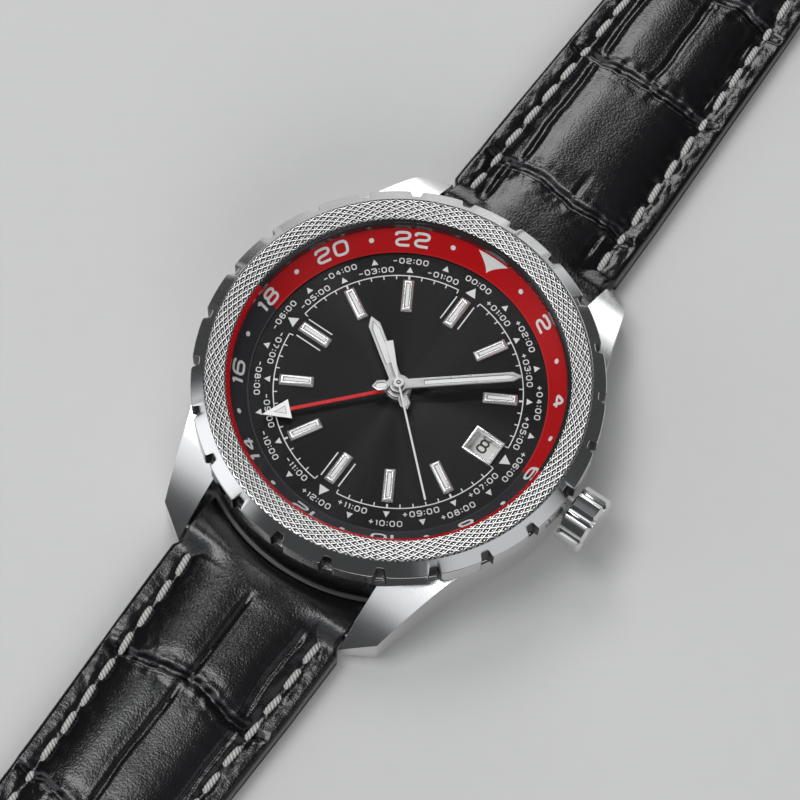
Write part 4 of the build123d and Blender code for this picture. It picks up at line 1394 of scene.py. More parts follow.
@dataclass
class DialPrint:
    """Everything printed on the dial."""

    ink: float = 0.02
    track_radius: float = 12.7
    track_width: float = 0.11
    tick_length: float = 0.36
    hour_tick_half: float = 0.95
    minute_tick_half: float = 0.5
    gap_degrees: float = 6.0
    arc_step_degrees: float = 2.0
    outer_row: float = 14.35
    inner_row: float = 13.38
    lettering: Lettering = Lettering(0.64, 0.56, 0.115, 0.17)
    turned_over_degrees: Point = (97.0, 263.0)
    wedge_half_width: float = 0.34
    wedge_height: float = 0.62
    pointer_half_width: float = 0.58
    pointer_start: float = 12.8
    pointer_height: float = 1.0
    double_markers: tuple[int, ...] = (0, 180, 270)
    rail_offset: float = 1.07
    rail_start: float = 9.0
    rail_end: float = 11.95
    rail_width: float = 0.13

    def __post_init__(self) -> None:
        """Reads the dial's face from the frame."""
        self.face = high("dial").z

    def build(self) -> None:
        """Prints the dial."""
        self.mesh = bmesh.new()
        self.track()
        self.rails()
        self.pointers()
        self.labels()
        lay_down(self.mesh, "dial", "dial_print", "print_white")

    def outline(self, points: Sequence[Point], degrees: float = 0.0) -> None:
        """Prints an outline that is drawn for 12 o'clock, at degrees clockwise from there."""
        spun(self.mesh, -math.radians(degrees), prism(self.mesh, points, self.face, self.face + self.ink))

    def bar(self, degrees: float, start: float, end: float, half: float, aside: float = 0.0) -> None:
        """Prints a straight bar from one radius to another, with half its width, aside of its direction."""
        left, right = aside - half, aside + half
        self.outline([(left, start), (right, start), (right, end), (left, end)], degrees)

    def wedge(self, degrees: float, start: float, half: float, height: float) -> None:
        """Prints a triangle that points outwards, with its base at a radius."""
        self.outline([(-half, start), (half, start), (0, start + height)], degrees)

    def track(self) -> None:
        """Prints the minute track, broken at the quarters."""
        half = self.track_width / 2
        stretch = 90 - 2 * self.gap_degrees
        steps = round(stretch / self.arc_step_degrees)
        for quarter in range(0, 360, 90):
            angles = [quarter + self.gap_degrees + stretch * step / steps for step in range(steps + 1)]
            outer = [polar(self.track_radius + half, angle) for angle in angles]
            inner = [polar(self.track_radius - half, angle) for angle in reversed(angles)]
            self.outline(outer + inner)
            for degrees in range(quarter + 6, quarter + 90, 6):
                end = self.track_radius - half
                share = self.minute_tick_half if degrees % 30 else self.hour_tick_half
                self.bar(degrees, end - self.tick_length, end, self.track_width * share)

    def rails(self) -> None:
        """Prints the two thin lines beside the double markers."""
        for degrees in self.double_markers:
            for aside in (-self.rail_offset, self.rail_offset):
                self.bar(degrees, self.rail_start, self.rail_end, self.rail_width / 2, aside)

    def pointers(self) -> None:
        """Prints the quarters' triangles and the small ones between the labels."""
        small = (self.wedge_half_width, self.wedge_height)
        for degrees in range(0, 360, 30):
            self.wedge(degrees + 15, self.outer_row - self.wedge_height / 2, *small)
            if degrees % 90:
                self.wedge(degrees, self.inner_row - self.wedge_height / 2, *small)
            else:
                self.wedge(degrees, self.pointer_start, self.pointer_half_width, self.pointer_height)

    def labels(self) -> None:
        """Prints the offsets from the zone at 12, round the dial in two rows."""
        for hour in range(24):
            offset = hour if hour <= 12 else hour - 24
            sign = "+" if offset > 0 else "-" if offset else ""
            row = self.inner_row if hour % 2 else self.outer_row
            self.label(f"{sign}{abs(offset):02d}:00", hour * 15.0, row)

    def label(self, text: str, degrees: float, radius: float) -> None:
        """Prints one label along its circle, upright in the lower half too.

        Args:
            text: the label.
            degrees: its place.
            radius: radius of its middle.
        """
        part = self.lettering.draw(text)
        start, end = self.turned_over_degrees
        upright = -1 if start < degrees < end else 1
        for vertex in part.verts:
            angle = math.radians(degrees) + upright * vertex.co.x / radius
            reach = radius + upright * vertex.co.y
            vertex.co = (reach * math.sin(angle), reach * math.cos(angle), self.face + vertex.co.z)
        add_to(self.mesh, part)


@dataclass
class DateNumbers:
    """The numbers on the date disc."""

    shown: int = 8
    days: int = 31
    one: Lettering = Lettering(1.5, 1.15, 0.21, 0.1)
    two: Lettering = Lettering(1.5, 0.95, 0.19, 0.14)
    inwards: float = 0.2
    ahead: float = 0.3

    def build(self) -> None:
        """Prints the numbers, with the shown one upright in the window."""
        mesh = bmesh.new()
        radius = (low("date_frame").x + high("date_frame").x) / 2 - self.inwards
        for day in range(1, self.days + 1):
            part = (self.one if day < 10 else self.two).draw(str(day))
            shifted(part, radius, self.ahead, high("date_disc").z)
            spun(part, (day - self.shown) * FULL_TURN / self.days)
            add_to(mesh, part)
        lay_down(mesh, "date_disc", "date_numbers", "print_black")


@dataclass
class DateFrame:
    """The applied frame of the date window, with a mask that slopes down to the disc."""

    rim: float = 0.22
    step: float = 0.1
    drop: float = 0.12
    lip: float = 0.04
    mask: float = 0.1
    clearance: float = 0.06
    edge: float = 0.02

    def build(self) -> None:
        """Builds the frame from its outline inwards."""
        foot, top = low("date_frame"), high("date_frame")
        mesh = bmesh.new()
        prism(mesh, [(foot.x, foot.y), (top.x, foot.y), (top.x, top.y), (foot.x, top.y)], foot.z, top.z)
        bmesh.ops.recalc_face_normals(mesh, faces=mesh.faces)
        under = min(mesh.faces, key=lambda face: face.calc_center_median().z)
        upper = max(mesh.faces, key=lambda face: face.calc_center_median().z)
        depth = top.z - self.drop - high("date_disc").z - self.clearance
        for width, fall in ((self.rim, 0.0), (self.step, self.drop), (self.lip, 0.0), (self.mask, depth)):
            bmesh.ops.inset_region(mesh, faces=[upper], thickness=width, depth=-fall, use_even_offset=True)
        bmesh.ops.delete(mesh, geom=[under, upper], context="FACES_ONLY")
        bmesh.ops.bridge_loops(mesh, edges=[edge for edge in mesh.edges if edge.is_boundary])
        soften(mesh, self.edge)
        lay_down(mesh, "date_frame", crease_degrees=24.0)


# Strap


@dataclass(frozen=True)
class Station:
    """One cross-section of a strap half: its place, its width and its heights."""

    place: float
    half: float
    underside: float
    border: float
    crown: float


@dataclass(frozen=True)
class Crease:
    """A crease between two scales of the leather."""

    across: bool
    place: float
    start: float
    end: float
    depth: float
    width: float
    wobble: float
    seed: float


def circle_through(first: Point, second: Point, third: Point) -> tuple[float, float, float]:
    """Finds the circle through three points.

    Args:
        first: a point.
        second: another one.
        third: the last one.

    Returns:
        The centre's two coordinates and the radius.
    """
    (ax, ay), (bx, by), (cx, cy) = first, second, third
    twice = 2 * (ax * (by - cy) + bx * (cy - ay) + cx * (ay - by))
    sums = (ax * ax + ay * ay, bx * bx + by * by, cx * cx + cy * cy)
    x = (sums[0] * (by - cy) + sums[1] * (cy - ay) + sums[2] * (ay - by)) / twice
    y = (sums[0] * (cx - bx) + sums[1] * (ax - cx) + sums[2] * (bx - ax)) / twice
    return x, y, math.hypot(ax - x, ay - y)


@dataclass
class StrapHalf:
    """One half of the strap: padded upper, lining and stitches."""

    name: str
    side: int
    length: float
    shares: Sequence[Station]
    creases: Sequence[Crease]
    seed: float
    nose: float = 1.7
    case_gap: float = 0.3
    end_half: float = 9.0
    wide_half: float = 10.3
    lug_half: float = 9.7
    lug_share: float = 0.6
    border: float = 2.6
    lining: float = 1.0
    lining_edge: float = 0.18
    edge_radius: float = 0.5
    fill: float = 0.55
    dome_square: float = 3.4
    dome_full: float = 0.9
    seam_depth: float = 0.2
    seam_width: float = 0.5
    sewn_shares: Point = (0.6, 1.5)
    sewn_end: float = 0.6
    sewn_fade: float = 1.0
    least_half: float = 0.01
    crease_reach: float = 1.5
    crease_sway: float = 2.2
    crease_shake: float = 0.35
    crease_rims: float = 0.2
    crease_hollow: float = 0.45
    crease_hollow_width: float = 1.3
    crease_rim_place: float = 2.3
    crease_fade_out: float = 1.0
    crease_fade_in: float = 1.2
    fold_height: float = 0.17
    fold_reach: float = 1.3
    fold_crease_reach: float = 1.8
    fold_crease_share: float = 0.9
    fine_fold_share: float = 0.5
    swell_height: float = 0.09
    sway_scales: Point = (0.16, 7.3)
    shake_scales: Point = (0.9, 3.1)
    fold_scales: Point = (0.9, 0.55)
    fine_fold_scales: Point = (1.9, 1.3)
    swell_scales: Point = (0.22, 0.12)
    stitch_inset: float = 2.25
    stitch_pitch: float = 3.3
    stitch_length: float = 2.95
    stitch_radius: float = 0.36
    stitch_flatness: float = 0.85
    stitch_end_share: float = 0.25
    stitch_sink: float = 0.4
    stitch_lift: float = 0.14
    stitch_lift_play: float = 0.03
    stitch_lean: float = 0.06
    stitch_lean_play: float = 0.05
    stitch_sides: int = 8
    stitch_rings: int = 9
    first_stitch: float = 3.6
    last_stitch: float = 2.0
    least_stitch_half: float = 0.6
    grid: float = 0.2
    grid_bend: float = 0.985
    grid_bend_share: float = 0.55
    nose_share: float = 0.03
    flank_steps: int = 4
    under_steps: int = 10
    loop_radius: float = 0.0
    loop_height: float = 2.15
    slot_half: float = 1.35
    slot_depth: float = 3.6
    tail: float = 0.0
    tail_side_share: float = 0.8
    tail_rise_share: float = 0.45
    holes: int = 0
    hole_pitch: float = 7.0
    hole_radius: float = 0.9
    hole_sides: int = 32
    last_hole: float = 22.0
    cut_reach: float = 12.0

    def __post_init__(self) -> None:
        """Works out the stations and the bar's place."""
        bar = "spring_bar_12" if self.side > 0 else "spring_bar_6"
        middle = (low(bar) + high(bar)) / 2
        self.bar_y = abs(middle.y)
        self.bar_z = middle.z
        self.case_radius = high("case_middle").x
        thick = 2 * self.nose
        wider = self.wide_half - self.end_half
        self.stations = [
            Station(
                share.place * self.length, self.end_half + share.half * wider,
                share.underside * thick, share.border * thick, share.crown * thick
            )
            for share in self.shares
        ]
        self.shoulder = self.length - self.tail
        if self.tail:
            side = self.end_half
            knee = (side * self.tail_side_share, self.shoulder + self.tail * self.tail_rise_share)
            self.arc = circle_through((side, self.shoulder), knee, (0.0, self.length))

    def at(self, place: float) -> Station:
        """Interpolates the stations.

        Args:
            place: distance from the spring bar.

        Returns:
            The cross-section there.
        """
        for before, after in zip(self.stations, self.stations[1:]):
            if place <= after.place:
                break
        share = min(max((place - before.place) / (after.place - before.place), 0.0), 1.0)
        mixed = [
            getattr(before, key) + (getattr(after, key) - getattr(before, key)) * share
            for key in ("half", "underside", "border", "crown")
        ]
        return Station(place, *mixed)

    def half_at(self, place: float, inset: float = 0.0) -> float:
        """Half the width, in the nose and in the tail too.

        Args:
            place: distance from the spring bar.
            inset: how far inside the edge.

        Returns:
            The half width.
        """
        first = self.stations[0]
        half = self.at(place).half
        if place < first.place:
            widening = smooth_step(self.lug_share * first.place, first.place, place)
            half = self.lug_half + (first.half - self.lug_half) * widening
        if self.tail and place > self.shoulder:
            x, y, radius = self.arc
            return max(x + half_chord(radius - inset, place - y), 0.0)
        return half - inset

    def end_stretch(self, x: float) -> float:
        """How much longer than its thickness asks the end is at x, to follow the round case."""
        wall = half_chord(self.case_radius, x)
        return max((self.bar_y - wall - self.case_gap) / self.nose, 1.0)

    def ripple(self, x: float, y: float, scales: Point, shift: float = 0.0) -> float:
        """Noise from -1 to 1 at a point, stretched by two scales; the shift picks another one."""
        return noise.noise(Vector((x * scales[0], y * scales[1], self.seed + shift)))

    def crease_depth(self, x: float, place: float) -> float:
        """Depth of the creases at a point.

        Args:
            x: place across the strap.
            place: distance from the spring bar.

        Returns:
            How far the leather is drawn in.
        """
        depth = 0.0
        for crease in self.creases:
            along, aside = (x, place) if crease.across else (place, x)
            if not crease.start - self.crease_reach < along < crease.end + self.crease_reach:
                continue
            sway = self.ripple(along, crease.seed, self.sway_scales)
            shake = self.ripple(along, crease.seed, self.shake_scales, 4.0)
            wander = crease.wobble * (self.crease_sway * sway + self.crease_shake * shake)
            distance = aside - crease.place - wander
            out, into = self.crease_fade_out, self.crease_fade_in
            fade = smooth_step(crease.start - out, crease.start + into, along)
            fade *= 1 - smooth_step(crease.end - into, crease.end + out, along)
            cut = hump(distance, crease.width)
            rim = abs(distance) - self.crease_rim_place * crease.width
            cut -= self.crease_rims * hump(rim, crease.width)
            cut += self.crease_hollow * hump(distance, self.crease_hollow_width)
            depth += crease.depth * fade * cut
        return depth

    def wrinkle(self, x: float, place: float, half: float) -> float:
        """Small folds beside the seams and the creases across.

        Args:
            x: place across the strap.
            place: distance from the spring bar.
            half: half the width there.

        Returns:
            The height of the folds.
        """
        near = hump(abs(x) - (half - self.stitch_inset), self.fold_reach)
        for crease in self.creases:
            if crease.across:
                near = max(near, self.fold_crease_share * hump(place - crease.place, self.fold_crease_reach))
        folds = self.ripple(x, place, self.fold_scales)
        folds += self.fine_fold_share * self.ripple(x, place, self.fine_fold_scales, 9.0)
        swell = self.ripple(x, place, self.swell_scales, 2.0)
        return self.fold_height * near * folds + self.swell_height * swell

    def top(self, x: float, place: float) -> float:
        """Height of the upper face.

        Args:
            x: place across the strap.
            place: distance from the spring bar.

        Returns:
            The height above the table.
        """
        spot = self.at(place)
        half = max(self.half_at(place), self.least_half)
        inner = max(half - self.border, self.least_half)
        dome = max(1 - (abs(x) / inner) ** self.dome_square, 0.0) ** self.dome_full
        rise = spot.border + (spot.crown - spot.border) * dome
        seam = self.seam_depth * hump(abs(x) - (half - self.stitch_inset), self.seam_width)
        first = self.stations[0].place
        end = self.length + self.loop_radius - self.sewn_end
        begun = smooth_step(*(first * share for share in self.sewn_shares), place)
        sewn = begun * (1 - smooth_step(end - self.sewn_fade, end, place))
        rise += sewn * (self.wrinkle(x, place, half) - seam - self.crease_depth(x, place))
        edge = self.edge_radius - (half - abs(x))
        if edge > 0:
            rise -= self.edge_radius - half_chord(self.edge_radius, edge)
        if place < first:
            crest = self.bar_z + half_chord(self.nose, min(place, 0.0))
            rise = crest + (rise - crest) * smooth_step(0.0, first, place)
        if self.loop_radius and place > self.length:
            share = half_chord(self.loop_radius, place - self.length) / self.loop_radius
            rise = self.loop_height + (rise - self.loop_height) * share
        return rise

    def bottom(self, place: float) -> float:
        """Height of the padded upper's underside.

        Args:
            place: distance from the spring bar.

        Returns:
            The height above the table.
        """
        first = self.stations[0]
        under = self.at(place).underside + self.lining
        if place < first.place:
            foot = self.bar_z - half_chord(self.nose, min(place, 0.0))
            under = foot + (under - foot) * smooth_step(0.0, first.place, place)
        loop_start = self.length - 2 * self.loop_radius
        if self.loop_radius and place > loop_start:
            foot = self.loop_height - half_chord(self.loop_radius, max(place - self.length, 0.0))
            under += (foot - under) * smooth_step(loop_start, loop_start + self.loop_radius, place)
        return under

    def seat(self, mesh: Mesh) -> None:
        """Moves a half drawn from its spring bar to its place on the watch.

        Args:
            mesh: the mesh, in the half's own lengths.
        """
        shifted(mesh, 0, self.bar_y, 0)
        if self.side < 0:
            spun(mesh, math.pi)

    def skin(self, step: int, across: int, place: float) -> Point:
        """Runs round the upper's cross-section: over the top, down, along the underside, and up.

        Args:
            step: how many steps along.
            across: how many steps the top takes.
            place: distance from the spring bar.

        Returns:
            Place across the strap, and height.
        """
        half = self.half_at(place)
        foot = self.bottom(place)
        if step <= across:
            share = step / across * 2 - 1
            bend = math.pi / 2 * self.grid_bend
            bent = self.grid_bend_share * math.sin(share * bend) / math.sin(bend)
            x = half * (bent + (1 - self.grid_bend_share) * share)
            return x, max(self.top(x, place), foot)
        down = (step - across) / self.flank_steps
        under = (step - across - self.flank_steps) / self.under_steps
        up = (step - across - self.flank_steps - self.under_steps) / self.flank_steps
        if down <= 1:
            return half, max(self.top(half, place) * (1 - down) + foot * down, foot)
        if under <= 1:
            return half * (1 - 2 * under), foot
        return -half, max(foot * (1 - up) + self.top(-half, place) * up, foot)

    def upper(self) -> None:
        """Builds the padded upper as one closed sleeve of leather."""
        start = -self.nose
        run = self.length + self.loop_radius - start
        across = round(2 * self.end_half / self.grid)
        around = across + 2 * self.flank_steps + self.under_steps
        dense = self.nose_share
        mesh = bmesh.new()
        bmesh.ops.create_grid(mesh, x_segments=round(run / self.grid), y_segments=around, size=0.5)
        for vertex in mesh.verts:
            step = round((vertex.co.y + 0.5) * around)
            share = vertex.co.x + 0.5
            if share < dense:
                share = dense * (1 - math.cos(share / dense * math.pi / 2))
            place = start + run * share
            x, z = self.skin(step, across, place)
            vertex.co = (x, place * self.end_stretch(x) if place < 0 else place, z)
        self.seat(mesh)
        piece = lay_down(mesh, f"{self.name}_upper", crease_degrees=75.0, merge=2e-3)
        self.cut(piece)

    def cutters(self) -> Mesh:
        """The slot for the tongue, or the row of holes.

        Returns:
            The mesh that is cut away.
        """
        mesh = bmesh.new()
        for index in range(self.holes):
            y = self.length - self.last_hole - index * self.hole_pitch
            pin(mesh, self.hole_radius, self.cut_reach, self.hole_sides, Vector((0, y, 0)))
        if not self.holes:
            back, front = self.length - self.slot_depth, self.length + 2 * self.nose
            side = self.slot_half
            corners = [(-side, back), (side, back), (side, front), (-side, front)]
            prism(mesh, corners, -self.cut_reach, self.cut_reach)
        return mesh

    def cut(self, piece: Thing) -> None:
        """Cuts the slot or the holes out of a piece.

        Args:
            piece: the piece.
        """
        mesh = self.cutters()
        self.seat(mesh)
        bmesh.ops.recalc_face_normals(mesh, faces=mesh.faces)
        scaled(mesh, MM)
        tool = mesh_object("cutter", mesh)
        cut = piece.modifiers.new("cut", "BOOLEAN")
        cut.operation = "DIFFERENCE"
        cut.solver = "EXACT"
        cut.object = tool
        result = evaluated_mesh(piece)
        piece.modifiers.remove(cut)
        piece.data = result
        bpy.data.objects.remove(tool)

    def stitch(self, mesh: Mesh) -> list[Any]:
        """Makes the pattern of all stitches: a short thread with sunk ends, along Y.

        Args:
            mesh: the mesh that it is made in.

        Returns:
            Its vertices, edges and faces.
        """
        stand = Matrix.Rotation(-math.pi / 2, 4, "X")
        bmesh.ops.create_circle(mesh, cap_ends=True, segments=self.stitch_sides, radius=1.0, matrix=stand)
        loop = list(mesh.edges)
        rings = [list(mesh.verts)]
        for _ in range(self.stitch_rings):
            verts, loop = grow(mesh, loop)
            rings.append(verts)
        bmesh.ops.holes_fill(mesh, edges=loop, sides=0)
        for index, ring in enumerate(rings):
            share = index / self.stitch_rings * 2 - 1
            swell = (1 - self.stitch_end_share) * math.sqrt(max(1 - abs(share) ** 3.5, 0.0))
            radius = self.stitch_radius * (self.stitch_end_share + swell)
            sink = -self.stitch_sink * abs(share) ** 4
            for vertex in ring:
                height = vertex.co.z * radius * self.stitch_flatness + sink
                vertex.co = (vertex.co.x * radius, self.stitch_length / 2 * share, height)
        thread = mesh.loops.layers.uv.new("thread")
        for face in mesh.faces:
            middle = face.calc_center_median()
            turn = math.atan2(middle.x, middle.z) / FULL_TURN
            for corner in face.loops:
                around = math.atan2(corner.vert.co.x, corner.vert.co.z) / FULL_TURN
                around += round(turn - around)
                corner[thread].uv = (around, corner.vert.co.y / self.stitch_length)
        return mesh.verts[:] + mesh.edges[:] + mesh.faces[:]

    def stitches(self) -> None:
        """Sews both rows, and round the tail where there is one."""
        mesh = bmesh.new()
        pattern = self.stitch(mesh)
        draw = random.Random(self.seed)
        place = self.first_stitch
        while place < self.length - self.last_stitch:
            half = self.half_at(place, self.stitch_inset)
            if half < self.least_stitch_half:
                place += self.stitch_pitch
                continue
            ahead = self.half_at(place + 0.5, self.stitch_inset)
            ahead -= self.half_at(place - 0.5, self.stitch_inset)
            for side in (-1, 1):
                lean = side * self.stitch_lean + math.atan2(-side * ahead, 1.0)
                lean += draw.uniform(-self.stitch_lean_play, self.stitch_lean_play)
                lift = self.stitch_lift + draw.uniform(-self.stitch_lift_play, self.stitch_lift_play)
                middle = Vector((side * half, place, self.top(side * half, place) + lift))
                spot = Matrix.Translation(middle) @ Matrix.Rotation(lean, 4, "Z")
                copy = bmesh.ops.duplicate(mesh, geom=pattern)["geom"]
                bmesh.ops.transform(mesh, matrix=spot, verts=verts_in(copy))
            place += self.stitch_pitch / math.hypot(1.0, ahead)
        bmesh.ops.delete(mesh, geom=verts_in(pattern), context="VERTS")
        self.seat(mesh)
        lay_down(mesh, f"{self.name}_upper", f"{self.name}_stitches", "thread", crease_degrees=80.0)

    def build(self) -> None:
        """Builds the half."""
        self.upper()
        Machined(f"{self.name}_lining", self.lining_edge, 3).build()
        self.stitches()


def crease_across(
    place: float, wobble: float, seed: float, depth: float = 0.36, width: float = 0.34
) -> Crease:
    """A crease over the strap's whole width."""
    return Crease(True, place, -9.0, 9.0, depth, width, wobble, seed)


@dataclass(frozen=True)
class ScaleGrain:
    """The crocodile grain that continues a strap half's first creases to its end."""

    seed: int
    steps: Point = (11.0, 14.5)
    row: float = 6.2
    middle_play: float = 1.2
    half_width: float = 7.0
    crease_share: float = 0.85
    gap: float = 0.6
    end_gap: float = 6.0
    depth: float = 0.24
    width: float = 0.24
    wobble: float = 0.25
    across_depth: float = 0.34
    across_wobble: float = 0.7
    seed_range: float = 9.0

    def creases(self, length: float, first: Sequence[Crease]) -> list[Crease]:
        """Draws the creases.

        Args:
            length: where the grain ends.
            first: the creases before it, of which the last lies across.

        Returns:
            All the creases.
        """
        draw = random.Random(self.seed)
        creases = list(first)
        place = first[-1].place
        shape = (self.depth, self.width, self.wobble)
        while place < length - self.end_gap:
            step = draw.uniform(*self.steps)
            middle = draw.uniform(-self.middle_play, self.middle_play)
            for x in (middle, middle + self.row, middle - self.row):
                if abs(x) < self.half_width and draw.random() < self.crease_share:
                    start, end = place + self.gap, place + step - self.gap
                    creases.append(Crease(False, x, start, end, *shape, draw.uniform(0, self.seed_range)))
            place += step
            seed = draw.uniform(0, self.seed_range)
            creases.append(crease_across(place, self.across_wobble, seed, self.across_depth))
        return creases


@dataclass
class Strap:
    """Both halves of the strap with their keepers and buckle.

    In the shares a place is a share of the half's length, a width one of its widening at the lugs, and a
    height one of its thickness at the bar.
    """

    buckle_shares: Sequence[Station] = (
        Station(0.035, 1.0, 0.06, 0.86, 1.13),
        Station(0.14, 0.92, 0.0, 0.76, 1.1),
        Station(0.33, 0.6, 0.0, 0.7, 1.0),
        Station(0.5, 0.36, 0.02, 0.66, 0.85),
        Station(0.64, 0.1, 0.29, 0.86, 0.96),
        Station(1.0, 0.0, 0.29, 0.86, 0.94),
    )
    hole_shares: Sequence[Station] = (
        Station(0.022, 1.0, 0.06, 0.86, 1.13),
        Station(0.09, 0.92, 0.0, 0.76, 1.1),
        Station(0.21, 0.6, 0.0, 0.7, 1.0),
        Station(0.4, 0.24, 0.0, 0.64, 0.8),
        Station(0.5, 0.12, 0.0, 0.62, 0.7),
        Station(1.0, 0.0, 0.0, 0.6, 0.66),
    )
    buckle_creases: Sequence[Crease] = (
        Crease(False, -6.4, 0.5, 7.0, 0.26, 0.22, 0.15, 1.0),
        Crease(False, 6.2, 0.5, 6.6, 0.26, 0.22, 0.15, 2.0),
        crease_across(7.2, 0.5, 3.0),
        Crease(False, -5.6, 8.2, 22.4, 0.26, 0.24, 0.25, 4.0),
        Crease(False, 1.6, 7.4, 10.4, 0.2, 0.22, 0.15, 5.0),
        crease_across(23.4, 0.7, 6.0),
    )
    hole_creases: Sequence[Crease] = (
        Crease(False, 0.3, 0.5, 13.0, 0.26, 0.22, 0.12, 1.5),
        Crease(False, -6.2, 1.0, 13.0, 0.28, 0.24, 0.2, 2.5),
        crease_across(13.6, 0.8, 3.5, 0.38, 0.36),
        Crease(False, 0.7, 14.6, 29.0, 0.24, 0.22, 0.15, 4.5),
        Crease(False, -6.4, 14.6, 29.0, 0.28, 0.24, 0.2, 5.5),
        crease_across(30.0, 0.7, 6.5),
    )
    buckle_length: float = 75.0
    hole_length: float = 118.0
    keeper_edge: float = 0.22
    frame_edge: float = 0.3
    tongue_edge: float = 0.2

    def build(self) -> None:
        """Builds the strap."""
        length = self.buckle_length
        creases = ScaleGrain(5).creases(length, self.buckle_creases)
        StrapHalf(
            "strap_12", 1, length, self.buckle_shares, creases, 3.0, loop_radius=1.15, last_stitch=11.0
        ).build()
        length = self.hole_length
        creases = ScaleGrain(8).creases(length, self.hole_creases)
        StrapHalf("strap_6", -1, length, self.hole_shares, creases, 17.0, tail=14.0, holes=7).build()
        Machined("fixed_keeper", self.keeper_edge, 3).build()
        Machined("free_keeper", self.keeper_edge, 3).build()
        Machined("buckle_frame", self.frame_edge, 3).build()
        Machined("buckle_tongue", self.tongue_edge, 3).build()


# Case, crown and hands


@dataclass
class Case:
    """The case middle and its back."""

    middle_edge: float = 0.16
    back_edge: float = 0.2

    def build(self) -> None:
        """Builds the pieces."""
        Machined("case_middle", self.middle_edge, 3).build()
        Machined("case_back", self.back_edge).build()


@dataclass
class Crown:
    """The fluted crown, with its bore for the tube."""

    flutes: int = 8
    steps: int = 26
    flute_depth: float = 0.34
    flute_half: float = 0.58
    turned_degrees: float = 16.0
    bevel: float = 0.4
    edge: float = 0.08
    bore_radius: float = 1.6
    bore_depth: float = 1.7

    def __post_init__(self) -> None:
        """Reads the crown's place and size from the frame."""
        self.start = low("crown").x
        self.end = high("crown").x
        self.radius = (high("crown").z - low("crown").z) / 2
        self.middle = (high("crown").z + low("crown").z) / 2

    def reach(self, angle: float, radius: float, share: float) -> float:
        """Radius of the outline at an angle.

        Args:
            angle: the angle round the stem.
            radius: radius of the lobes.
            share: how deep the flutes are there, as a share of their full depth.

        Returns:
            The radius.
        """
        pitch = FULL_TURN / self.flutes
        away = abs((angle / pitch) % 1.0 - 0.5) * pitch * self.radius
        side = pitch * self.radius / 2 - away
        dip = max(1 - (side / self.flute_half) ** 2, 0.0)
        return radius - share * self.flute_depth * dip

    def build(self) -> None:
        """Builds the crown from its outer end to the end of its bore."""
        outer = self.radius
        # Place along the stem, radius, and depth of the flutes as a share of their full depth.
        rings = (
            (self.end, outer - self.bevel - self.edge, 0.0),
            (self.end - self.edge / 2, outer - self.bevel, 0.3),
            (self.end - self.bevel + self.edge, outer - self.edge / 2, 0.9),
            (self.end - self.bevel, outer, 1.0),
            (self.start + 2 * self.edge, outer, 1.0),
            (self.start + self.edge, outer - self.edge / 2, 1.0),
            (self.start, outer - 2 * self.edge, 0.9),
            (self.start, self.bore_radius, 0.0),
            (self.start + self.bore_depth, self.bore_radius, 0.0),
        )
        mesh = bmesh.new()
        bmesh.ops.create_circle(mesh, cap_ends=True, segments=self.flutes * self.steps, radius=1.0)
        verts, loop = list(mesh.verts), list(mesh.edges)
        angles = [math.atan2(vertex.co.y, vertex.co.x) for vertex in verts]
        for index, (x, radius, share) in enumerate(rings):
            if index:
                verts, loop = grow(mesh, loop)
                angles = [math.atan2(vertex.co.y, vertex.co.z - self.middle) for vertex in verts]
            for vertex, angle in zip(verts, angles):
                reach = self.reach(angle + math.radians(self.turned_degrees), radius, share)
                vertex.co = (x, reach * math.sin(angle), self.middle + reach * math.cos(angle))
        bmesh.ops.holes_fill(mesh, edges=loop, sides=0)
        lay_down(mesh, "crown", crease_degrees=24.0)


@dataclass
class SecondsCap:
    """The dark middle of the seconds hand's hub: a pin on a black disc that paints the shade of a recess."""

    pin_radius: float = 0.13
    ring_radius: float = 0.24
    rise: float = 0.03
    sides: int = 24

    def build(self) -> None:
        """Builds the black disc of painted shade and the pin on it."""
        top = high("seconds_hand").z
        for name, radius, lift, look in (
            # Painted shade: a black disc stands for the shade in the hub's recess.
            ("seconds_hub_painted_shade", self.ring_radius, self.rise / 2, "print_black"),
            ("seconds_hub_pin", self.pin_radius, self.rise, "bar_steel"),
        ):
            mesh = bmesh.new()
            pin(mesh, radius, lift, self.sides, Vector((0, 0, top + lift / 2)))
            lay_down(mesh, "seconds_hand", name, look)


@dataclass
class Hands:
    """Applied markers and hands with their inlays."""

    marker_edge: float = 0.09
    hand_edge: float = 0.045
    fine_edge: float = 0.03

    def build(self) -> None:
        """Builds the pieces."""
        Machined("hour_markers", self.marker_edge).build()
        for hand in ("hour_hand", "minute_hand", "world_hand"):
            Machined(hand, self.hand_edge).build()
        Machined("seconds_hand", self.fine_edge).build()
        for inlay in ("hour_marker_inlays", "hour_hand_inlays", "minute_hand_inlays", "world_hand_inlay"):
            Inlay(inlay).build()


# Studio


@dataclass(frozen=True)
class Glow:
    """A bright patch of the surroundings, which eases in between two nearnesses to its direction."""

    direction: Place
    start: float
    end: float
    strength: float


@dataclass(frozen=True)
class Lamp:
    """One soft lamp that looks at the dial, with lengths in metres and its power in watts."""

    name: str
    place: Place
    size: float
    power: float
    mirrored: bool = True

    def hang(self) -> None:
        """Hangs the lamp."""
        data = bpy.data.lights.new(self.name, "AREA")
        data.shape = "DISK"
        data.size = self.size
        data.energy = self.power
        lamp = put_in_scene(self.name, data)
        lamp.location = self.place
        lamp.visible_glossy = self.mirrored
        lamp.rotation_euler = (-Vector(self.place)).to_track_quat("-Z", "Y").to_euler()


